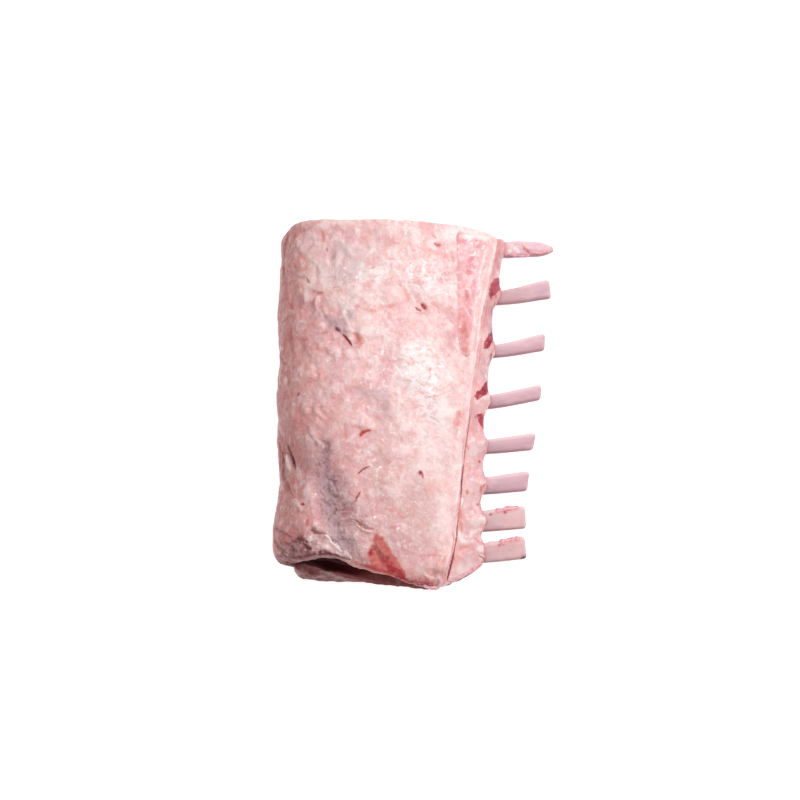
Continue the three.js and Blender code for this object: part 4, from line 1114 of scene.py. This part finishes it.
def outer_fat():
    fat = Finish("outer_fat_moist")
    at = fat.warped(9.0, 2.2)
    out_x, out_y, out_z = fat.outward()
    side = fat.rise(fat.x, -82.0, -46.0, 1.0, 0.0)
    relief = fat.painted("relief")
    wrinkled = fat.painted("wrinkled")
    broad = fat.noise(fat.mm, 26.0, 2.0, seed=1.0)
    patch = fat.noise(at, 6.5, 4.0, 0.55, seed=2.0)
    fat.base = fat.blend(fat.rise(broad, 0.4, 0.62), PEACH_FAT, ROSE_FAT)
    fat.cover(IVORY_FAT, fat.rise(patch, 0.44, 0.62) * (0.75 - side * 0.3))
    peach = fat.noise(at, 9.0, 4.0, 0.55, seed=12.0)
    fat.cover(SALMON, fat.rise(peach, 0.48, 0.72) * 0.4)
    fat.cover(GREY_FAT, fat.rise(fat.noise(at, 12.0, 3.0, seed=4.0), 0.52, 0.7) * 0.14)
    # Darker and redder towards the lower left and on the chine side: partly the chine fat's own redder
    # colour, partly painted shade where the surface falls away from the light.
    low = fat.rise(fat.y, 10.0, -75.0) * fat.rise(fat.x, 22.0, 6.0)
    fat.cover(DUSK_FAT, low * 0.3)
    fat.cover(CHINE_FAT, side * (0.6 + low * 0.1))
    mottled(fat, at, 0.36)
    blots = fat.noise(fat.scaled(at, (1.0, 0.55, 1.0)), 3.8, 2.0, 0.5, seed=11.0)
    fat.cover(fat.blend(side, SALMON, RUST), fat.rise(blots, 0.54, 0.72) * (0.4 + side * 0.4))
    # Painted shade and highlight: the relief's valleys and hollows are painted rosier and darker, its
    # crests paler.
    fat.cover(fat.blend(side, BLUSH, RUST), fat.painted("valley") * (0.4 + side * 0.3))
    fat.cover(BLUSH, fat.rise(relief, -0.1, -0.9) * 0.3)
    fat.cover(IVORY_FAT, fat.rise(relief, 0.2, 0.9) * 0.45)
    # Painted highlights: white along the crests of the wrinkles and in small sparks, with blush between the
    # crests as painted shade.
    curls = fat.creases(fat.scaled(at, (0.8, 1.4, 1.0)), 5.0, 3.0, 2.0, seed=6.0)
    fat.cover(BLUSH, fat.rise(curls, 0.4, 0.1) * wrinkled * 0.5)
    fat.cover(PAINTED_GLINT_WHITE, fat.rise(curls, 0.4, 0.85) * wrinkled * 0.9)
    sparks = fat.rise(fat.noise(fat.mm, 1.3, 1.0, seed=13.0), 0.66, 0.74)
    fat.cover(PAINTED_GLINT_WHITE, sparks * (0.15 + wrinkled * 0.75 + side * 0.25))
    cut_end = fat.rise(abs(out_y), 0.45, 0.85) * fat.rise(out_z, 0.75, 0.4)
    fat.cover(SALMON, cut_end * 0.5)
    # Faces turned to the chine side are painted brown-red: partly the rim's own colour, partly painted
    # shade where they face away from the light.
    turned = fat.rise(out_x, -0.5, -0.9)
    fat.cover(fat.blend(fat.rise(fat.z, 30.0, 16.0), RIM_SHADE_BROWN, ROSE_FAT), turned * 0.55)
    # Painted shade: umber on the underside of the cap's overhanging lip at the shoulder end.
    lip = fat.rise(fat.y, -86.0, -89.0) * fat.rise(out_z, 0.9, 0.5) * fat.rise(fat.x, -34.0, -46.0)
    fat.cover(UMBER, lip * 0.95)
    torn = fat.rise(fat.y, -93.0, -96.0) * fat.rise(out_z, 0.85, 0.5) * fat.rise(fat.x, -36.0, -26.0)
    fat.cover(LEAN_RED, torn * fat.rise(fat.x, 20.0, 8.0) * 0.75)
    stained(fat, at)
    fine = fat.noise(fat.mm, 1.4, 2.0, 0.6, seed=5.0)
    specks = fat.rise(fat.noise(fat.scaled(fat.mm, (1.0, 0.7, 1.0)), 1.5, 3.0, 0.6, seed=14.0), 0.48, 0.64)
    purplish = fat.rise(fat.painted("lilac"), 0.1, 0.7) * fat.rise(fat.y, 0.0, -20.0)
    fat.cover(UMBER, specks * purplish * 0.45)
    dull = fat.rise(fat.painted("dusk"), 0.25, 0.7)
    pale = fat.rise(fat.noise(at, 2.6, 3.0, 0.6, seed=16.0), 0.53, 0.66)
    fat.cover(PEACH_FAT, pale * dull * 0.7)
    dark = fat.rise(fat.noise(fat.scaled(at, (0.7, 1.4, 1.0)), 3.4, 3.0, 0.6, seed=15.0), 0.48, 0.6)
    fat.cover(UMBER, dark * dull * 0.8)
    fat.cover(UMBER, specks * fat.rise(fat.painted("dusk"), 0.2, 0.7) * 0.4)
    rough = fat.noise(at, 3.6, 4.0, 0.55, seed=8.0) * (1.3 + side * 0.4)
    height = curls * wrinkled * 0.55 + fine * 0.5 + rough
    wet = glints(fat, wrinkled) * (1 - lip)
    return fat.end(fat.rise(patch, 0.3, 0.7, 0.42, 0.55), height, 0.75, wet, FAT_SOFT)


def cap_muscle():
    muscle = Finish("cap_muscle_wet")
    at = muscle.warped(6.0, 1.8)
    grain = muscle.noise(muscle.scaled(at, (1.0, 0.6, 1.0)), 3.4, 2.0, 0.5, seed=1.0)
    film = muscle.noise(muscle.scaled(at, (1.0, 1.5, 1.0)), 4.4, 3.0, seed=2.0)
    muscle.base = muscle.blend(muscle.rise(grain, 0.34, 0.66), MUSCLE_PALE, MUSCLE_PINK)
    muscle.cover(IVORY_FAT, muscle.rise(film, 0.48, 0.64) * 0.6)
    mottled(muscle, at, 0.3)
    stained(muscle, at)
    ragged = (muscle.noise(at, 3.0, 2.0, seed=3.0) - 0.5) * 3.0
    border = muscle.rise(muscle.painted("gap") + ragged, 1.8, 0.2) * muscle.rise(muscle.x, 28.0, 31.0)
    muscle.cover(IVORY_FAT, border * 0.8)
    height = grain * 0.2 + film * 0.25 + muscle.noise(muscle.mm, 1.2, 2.0) * 0.1
    return muscle.end(0.48, height, 0.3, glints(muscle, 0.6), MEAT_SOFT)


def inner_fat():
    fat = Finish("inner_fat_moist")
    at = fat.warped(7.0, 1.8)
    out_x, out_y, out_z = fat.outward()
    shoulder = fat.rise(fat.y, 40.0, -80.0)
    broad = fat.noise(at, 13.0, 2.0, seed=1.0)
    mottle = fat.noise(at, 4.4, 2.0, 0.5, seed=2.0)
    fat.base = fat.blend(fat.rise(broad, 0.38, 0.62), IVORY_FAT, ROSE_FAT)
    fat.cover(DUSK_FAT, 0.12)
    fat.cover(LILAC_FAT, 0.3)
    fat.cover(SALMON, fat.rise(mottle, 0.54, 0.76) * (0.25 + shoulder * 0.35))
    mottled(fat, at, 0.28)
    # Painted shade: the valleys painted salmon.
    fat.cover(SALMON, fat.painted("valley") * 0.4)
    rim = fat.rise(out_x, 0.5, 0.92) * fat.rise(fat.noise(fat.mm, 6.0, 2.0, seed=4.0), 0.36, 0.58)
    fat.cover(RIM_RED, rim * 0.75)
    fat.cover(ROSE_FAT, fat.rise(abs(out_y), 0.5, 0.9) * 0.4)
    fat.cover(RIM_RED, fat.rise(out_z, 0.0, -0.5))
    stained(fat, at)
    torn = fat.noise(at, 2.0, 3.0, 0.6, seed=7.0)
    fat.cover(PURPLE, fat.rise(torn, 0.5, 0.66) * fat.painted("flesh") * 0.6)
    fat.cover(SALMON, fat.rise(torn, 0.44, 0.3) * fat.painted("flesh") * 0.6)
    wrinkled = fat.painted("wrinkled")
    wrinkles = fat.creases(at, 3.4, 4.0, 2.0, seed=6.0) * wrinkled
    height = wrinkles * 0.6 + fat.noise(fat.mm, 1.2, 2.0, seed=5.0) * 0.12 + mottle * 0.2
    return fat.end(0.5, height, 0.3, glints(fat, wrinkled), FAT_SOFT)


def lean_meat():
    """Red meat with pale films and seams on its cut ends. The eye of the loin is an oval on them."""
    meat = Finish("lean_raw")
    at = meat.warped(8.0, 2.0)
    out_x, _, out_z = meat.outward()
    fibres = meat.noise(meat.scaled(at, (1.0, 0.35, 1.0)), 1.8, 3.0, 0.6, seed=1.0)
    broad = meat.noise(at, 11.0, 2.0, seed=2.0)
    meat.base = meat.blend(meat.rise(fibres, 0.38, 0.62), LEAN_RED, LEAN_DARK)
    eye = ((meat.x + 32) / 25) ** 2 + ((meat.z - 27) / 15) ** 2 + (broad - 0.5) * 0.5
    marbling = meat.creases(at, 5.0, 12.0, 2.0, seed=3.0) * meat.rise(broad, 0.35, 0.6)
    layers = meat.creases(meat.scaled(at, (0.35, 1.0, 1.0)), 8.0, 5.0, 2.0, seed=4.0)
    meat.cover(ROSE_FAT, marbling * 0.4)
    meat.cover(ROSE_FAT, layers * meat.rise(eye, 1.1, 1.5) * 0.85)
    ring_width = meat.rise(meat.noise(at, 9.0, 2.0, seed=8.0), 0.35, 0.65, 0.05, 0.2)
    meat.cover(IVORY_FAT, meat.rise(abs(eye - 1.15) - ring_width, 0.03, -0.03))
    film = meat.noise(at, 9.0, 3.0, 0.55, seed=5.0)
    skin = meat.blend(meat.rise(film, 0.4, 0.66), FILM_MAUVE, FILM_PALE)
    streaks = meat.noise(meat.scaled(at, (1.0, 0.4, 0.4)), 4.0, 2.0, 0.5, 1.0, seed=6.0)
    skin = meat.blend(meat.rise(streaks, 0.5, 0.7) * 0.7, skin, RIM_RED)
    under = meat.rise(out_z, -0.1, -0.6) + meat.rise(out_x, -0.3, -0.7)
    meat.cover(skin, meat.rise(under, 0.0, 1.0, 0.0, 0.85) * meat.rise(film, 0.36, 0.5))
    shoulder = meat.rise(meat.y, -86.0, -90.0)
    end_streaks = meat.noise(meat.scaled(at, (1.0, 0.7, 1.3)), 3.4, 2.0, seed=7.0)
    end_skin = meat.blend(meat.rise(end_streaks, 0.42, 0.62), FILM_MAUVE, UMBER)
    end_skin = meat.blend(meat.rise(film, 0.52, 0.66) * 0.4, end_skin, FILM_PALE)
    # Painted shade: the shoulder end face darker towards the top, under the cap's lip.
    end_skin = meat.blend(meat.rise(meat.z, 10.0, 15.5) * 0.75, end_skin, UMBER)
    end_skin = meat.blend(0.25, end_skin, UMBER)
    meat.cover(end_skin, shoulder * 0.92)
    # Painted shade: near black in the hollow right under the lip towards the chine side, dark red further
    # along.
    deep = meat.blend(meat.rise(meat.x, -50.0, -20.0), HOLLOW_SHADE, LEAN_DARK)
    above_floor = meat.z - meat.rise(meat.x, -60.0, -20.0) * 4.0
    meat.cover(deep, shoulder * meat.rise(above_floor, 14.0, 17.0))
    rim = meat.rise(meat.x, 34.0, 40.0) * meat.rise(out_z, -0.6, 0.0)
    meat.cover(RIM_RED, rim * 0.8)
    stained(meat, at)
    height = fibres * 0.4 + film * 0.5 + meat.noise(meat.mm, 1.0, 2.0) * 0.15
    dry = shoulder * meat.rise(meat.z, 9.0, 13.0)
    wet = meat.rise(film, 0.45, 0.65, 0.0, 0.4) * (1 - dry)
    return meat.end(0.5 + dry * 0.5, height, 0.3, wet, MEAT_SOFT | {"Specular IOR Level": 0.12})


def scraped_bone(name, tint, rough):
    """Bone with a painted highlight on its bevelled loin side, which faces the light, and painted shade on
    its lower side. `rough` is how much flesh and unevenness was left on it."""
    bone = Finish(name)
    at = bone.warped(6.0, 1.0)
    _, out_y, out_z = bone.outward()
    soft = bone.noise(bone.scaled(at, (0.4, 1.0, 1.0)), 6.0, 2.0, seed=1.0)
    mottle = bone.noise(at, 2.6, 2.0, 0.5, seed=2.0)
    bone.base = bone.blend(bone.rise(bone.x, 58.0, 44.0) * (0.7 - rough), tint, BONE_ROOT)
    bone.cover(BONE_PALE_TONE_AND_HIGHLIGHT, bone.rise(soft, 0.45, 0.7) * 0.35)
    bone.cover(SALMON, bone.rise(mottle, 0.5, 0.75) * (0.12 + rough * 0.4))
    # Painted highlight: the bevel that faces the loin side and the light, paler.
    bevel = bone.rise(out_y, -0.15, 0.5) * bone.rise(out_z, 0.05, 0.4)
    bone.cover(BONE_PALE_TONE_AND_HIGHLIGHT, bevel * 0.8)
    # Painted shade: the lower side, which faces away from the light, darker.
    lower = bone.rise(out_y, -0.15, -0.85)
    bone.cover(BONE_SHADE, lower * 0.5)
    root = bone.rise(bone.painted("gap"), 2.6, 0.8) * bone.rise(mottle, 0.36, 0.56)
    bone.cover(RIM_RED, root * 0.6)
    bone.cover(BONE_ROSY, bone.rise(out_z, 0.2, -0.6) * 0.6)
    stained(bone, at)
    height = mottle * (0.2 + rough) + bone.noise(bone.mm, 1.0, 2.0) * 0.12
    return bone.end(bone.rise(soft, 0.3, 0.7, 0.42, 0.55), height, 0.3, 0.1 + rough * 0.15, BONE_SOFT)


def scrap_film(name, tint, stain_tint):
    scrap = Finish(name)
    soft = scrap.noise(scrap.mm, 2.0, 2.0)
    scrap.base = scrap.blend(scrap.rise(soft, 0.46, 0.66), tint, stain_tint)
    return scrap.end(0.4, soft, 0.25, 0.7, FAT_SOFT)


FINISHES = {
    "outer_fat": outer_fat(),
    "cap_muscle": cap_muscle(),
    "inner_fat": inner_fat(),
    "lean": lean_meat(),
    "lilac_bone": scraped_bone("bone_scraped", BONE_LILAC, 0.0),
    "rosy_bone": scraped_bone("bone_rosy", BONE_ROSY, 0.2),
    "rough_bone": scraped_bone("bone_rough", BONE_PINK, 0.6),
    "pale_film": scrap_film("film_pale", MUSCLE_PALE, MUSCLE_PINK),
    "torn_lean": scrap_film("lean_torn", RIM_RED, LEAN_DARK),
}


# ---- Pieces ---------------------------------------------------------------------------------

outer = fine_piece("outer_fat", "fat_cap", 0.75, sizes(
    22, 3.0, lump=(14, 1.5), lobe=(10.5, 2.0), dimple=(5.5, 0.6), lobed=(-62, -10), seed=1.0,
), FINISHES["outer_fat"], grow=(0.4, 0.0))
work(outer, CAP_TONES + CAP_STAINS + CAP_FOLDS + CAP_RIDGES + CAP_NICKS)
strip = fine_piece("bare_cap_muscle", "cap_muscle", 0.5, sizes(
    4, 0.6, lump=(7, 0.15), lobe=(5, 0.0), dimple=(3.0, 0.08), seed=2.0,
), FINISHES["cap_muscle"], grow=(0.2, 0.42))
lap_over(strip, "cap_muscle", 2.2)
work(strip, STRIP_MARKS)
inner = fine_piece("inner_fat", "cover_fat", 0.6, sizes(
    16, 1.6, lump=(10, 0.4), lobe=(6.0, 0.25), dimple=(3.6, 0.1), seed=3.0,
), FINISHES["inner_fat"])
work(inner, COVER_MARKS)
lean = fine_piece("lean_meat_raw", "lean_meat", 0.75, sizes(
    24, 2.0, lump=(11, 0.7), lobe=(7.0, 0.5), dimple=(3.8, 0.3), seed=4.0,
), FINISHES["lean"])
work(lean, LEAN_MARKS)
bones = []
for number, node in enumerate(RIBS):
    kind = {"rib_1": "rough_bone", "rib_7": "rosy_bone", "rib_8": "rosy_bone"}.get(node, "lilac_bone")
    dimple = 0.35 if kind == "rough_bone" else 0.06
    bone = fine_piece(f"{node}_bone", node, 0.42, sizes(
        5, 0.8, lump=(14, 0.12), lobe=(6, 0), dimple=(3.4, dimple), grain=(0.5, 1, 1), seed=10.0 + number,
    ), FINISHES[kind], grow=(0.25, 0.1))
    work(bone, BONE_MARKS.get(node, []))
    bones.append(bone)

for piece, node, slot in [
    (outer, "fat_cap", "outer_fat"),
    (strip, "cap_muscle", "cap_muscle"),
    (inner, "cover_fat", "inner_fat"),
    (lean, "lean_meat", "lean"),
    *[(bone, node, "bone") for bone, node in zip(bones, RIBS)],
]:
    within_box(piece)
    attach(piece, "root")
    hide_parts(node)


# ---- Threads and scraps ---------------------------------------------------------------------


def thread_tree():
    """A ragged thread along each line that it is given: flat, thin at both ends, and closed."""
    tree = Maker("ragged_thread", {
        "Width": "Float", "Thickness": "Float", "Raggedness": "Float", "Lump Size": "Float",
        "Step": "Float", "Seed": "Float",
    })
    line = tree.add("GeometryNodeMeshToCurve", {"Mesh": tree.take("Geometry")})
    steps = {"Curve": line, "Length": tree.take("Step")}
    even = tree.add("GeometryNodeResampleCurve", steps, mode="LENGTH")
    level = tree.add("GeometryNodeSetCurveNormal", {"Curve": even}, mode="Z_UP")
    share = tree.add("GeometryNodeSplineParameter")
    taper = tree.rise(share * (1 - share) * 4, 0.0, 0.7, 0.15, 1.0)
    place = tree.add("GeometryNodeInputPosition")

    def waves(offset):
        return tree.noise(place, tree.take("Lump Size"), seed=tree.take("Seed") + offset)

    thickness = taper * (1 + (waves(0.0) * 2 - 1) * 2 * tree.take("Raggedness"))
    ring = tree.add("GeometryNodeCurvePrimitiveCircle", {"Resolution": 8, "Radius": 1.0})
    sides = {"X": tree.take("Width"), "Y": tree.take("Thickness"), "Z": 1.0}
    size = tree.add("ShaderNodeCombineXYZ", sides)
    flat = tree.add("GeometryNodeTransform", {"Geometry": ring, "Scale": size})
    values = {"Curve": level, "Profile Curve": flat, "Scale": thickness, "Fill Caps": True}
    tube = tree.add("GeometryNodeCurveToMesh", values)
    aside = tree.moved(waves(5.0).other("Color"), MIDDLE)
    push = tree.stretched(aside, tree.take("Width") * tree.take("Raggedness") * 2)
    return tree.end(tree.add("GeometryNodeSetPosition", {"Geometry": tube, "Offset": push}))


ragged_thread = thread_tree()


def unbroken(points, most=2.0):
    """The longest run of the points with steps of no more than `most` mm: no cliff and no hole."""
    breaks = np.flatnonzero(np.linalg.norm(np.diff(points, axis=0), axis=1) > most) + 1
    return max(np.split(points, breaks), key=len)


def threads(name, material, lines):
    """One piece of several threads, each of them (line in plan, half width, half thickness, how high
    above the surface, raggedness), in mm."""
    body = bmesh.new()
    for number, (line, width, thickness, above, raggedness) in enumerate(lines):
        points = (unbroken(laid_on(everything, line)) + (0, 0, above)) * MM
        path = bpy.data.meshes.new("path")
        path.from_pydata(points.tolist(), [(i, i + 1) for i in range(len(points) - 1)], [])
        one = new_object("thread", path)
        ragged_thread.run(one, {
            "Material": material, "Width": width * MM, "Thickness": thickness * MM,
            "Raggedness": raggedness, "Lump Size": 2.2 * MM, "Step": 0.5 * MM, "Seed": float(number),
        })
        body.from_mesh(one.data)
        bpy.data.objects.remove(one)
    bmesh.ops.recalc_face_normals(body, faces=body.faces)
    mesh = bpy.data.meshes.new(name)
    body.to_mesh(mesh)
    body.free()
    mesh.materials.append(material)
    mesh.shade_smooth()
    piece = new_object(name, mesh)
    within_box(piece)
    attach(piece, "root")


everything = surface_of([piece.data for piece in (outer, strip, inner, lean, *bones)])
threads("pale_film_scraps", FINISHES["pale_film"], [
    ([(36.0, -91.4), (31.0, -95.0), (26.0, -97.9), (20.5, -100.7), (18.0, -101.6)], 1.1, 0.7, 0.1, 0.3),
    ([(12.5, -102.0), (14.6, -102.4), (16.8, -101.4)], 1.3, 1.0, 0.4, 0.3),
    ([(44.0, -60.0), (48.0, -58.8), (53.0, -57.4), (58.0, -56.6), (62.6, -56.2)], 1.6, 1.3, -0.7, 0.35),
    ([(46.0, -78.4), (50.0, -77.0), (54.0, -75.8), (59.0, -74.7), (63.0, -74.3)], 1.6, 1.3, -0.7, 0.4),
    ([(3.0, -104.6), (7.7, -105.8), (12.4, -105.6)], 1.3, 0.7, 0.0, 0.4),
    ([(55.0, 95.8), (60.0, 96.0), (66.0, 96.4), (70.0, 96.8)], 0.8, 0.7, -0.4, 0.5),
    ([(66.0, 99.4), (70.0, 98.4), (75.0, 98.6), (79.4, 100.2)], 0.9, 0.6, -0.1, 0.5),
])
threads("torn_lean_scraps", FINISHES["torn_lean"], [
    ([(-9.5, -101.6), (-6.0, -103.0), (-2.5, -103.6)], 0.9, 0.7, -0.2, 0.6),
    ([(-3.0, -103.2), (1.1, -104.2), (4.6, -104.4)], 0.9, 0.7, -0.2, 0.6),
    ([(5.0, -104.2), (9.0, -104.8)], 0.7, 0.6, 0.0, 0.6),
])


# ---- Floor, light and camera ----------------------------------------------------------------


def floor():
    finish = Finish("floor_paper")
    grain = finish.noise(finish.mm, 1.5, 2.0)
    finish.base = finish.blend(grain, PAPER, PAPER_GRAIN)
    bright = {"Emission Color": (1, 1, 1, 1), "Emission Strength": 0.8}
    paper = finish.end(0.9, grain, 0.02, 0.0, bright)
    mesh = bpy.data.meshes.new("floor")
    half = 3.0
    places = [(-half, -half, 0), (half, -half, 0), (half, half, 0), (-half, half, 0)]
    mesh.from_pydata(places, [], [(0, 1, 2, 3)])
    mesh.materials.append(paper)
    return new_object("floor", mesh)


def lamp(name, place, target, size, power, tint=(1, 1, 1)):
    light = bpy.data.lights.new(name, "AREA")
    light.size = size
    light.energy = power
    light.color = tint
    holder = new_object(name, light)
    holder.location = place
    holder.rotation_euler = (Vector(target) - Vector(place)).to_track_quat("-Z", "Y").to_euler()


floor()
lamp("key_softbox", (1.5, 0.9, 1.9), (0, 0, 0.03), 1.3, 37.0, (1.0, 0.99, 0.99))
lamp("glint_light", (0.75, 0.45, 2.4), (0, 0, 0.03), 0.24, 8.0)
lamp("top_fill", (-0.4, -0.3, 2.4), (0, 0, 0), 1.8, 9.0)

world = bpy.data.worlds.new("studio")
bpy.context.scene.world = world
world.use_nodes = True
background = world.node_tree.nodes["Background"]
background.inputs["Color"].default_value = (1, 1, 1, 1)
background.inputs["Strength"].default_value = 0.36

AIM = Vector((-9.51, 3.1, 30.0)) * MM
ELEVATION = math.radians(78)
DISTANCE = 1.1
FOCAL_LENGTH = 85.34
camera = bpy.data.cameras.new("camera")
camera.sensor_width = 36
camera.lens = FOCAL_LENGTH
camera.clip_start = 0.01
viewer = new_object("camera", camera)
viewer.location = AIM + DISTANCE * Vector((0, -math.cos(ELEVATION), math.sin(ELEVATION)))
viewer.rotation_euler = (AIM - viewer.location).to_track_quat("-Z", "Y").to_euler()
bpy.context.scene.camera = viewer
bpy.context.scene.view_settings.view_transform = "Standard"

bpy.context.view_layer.update()
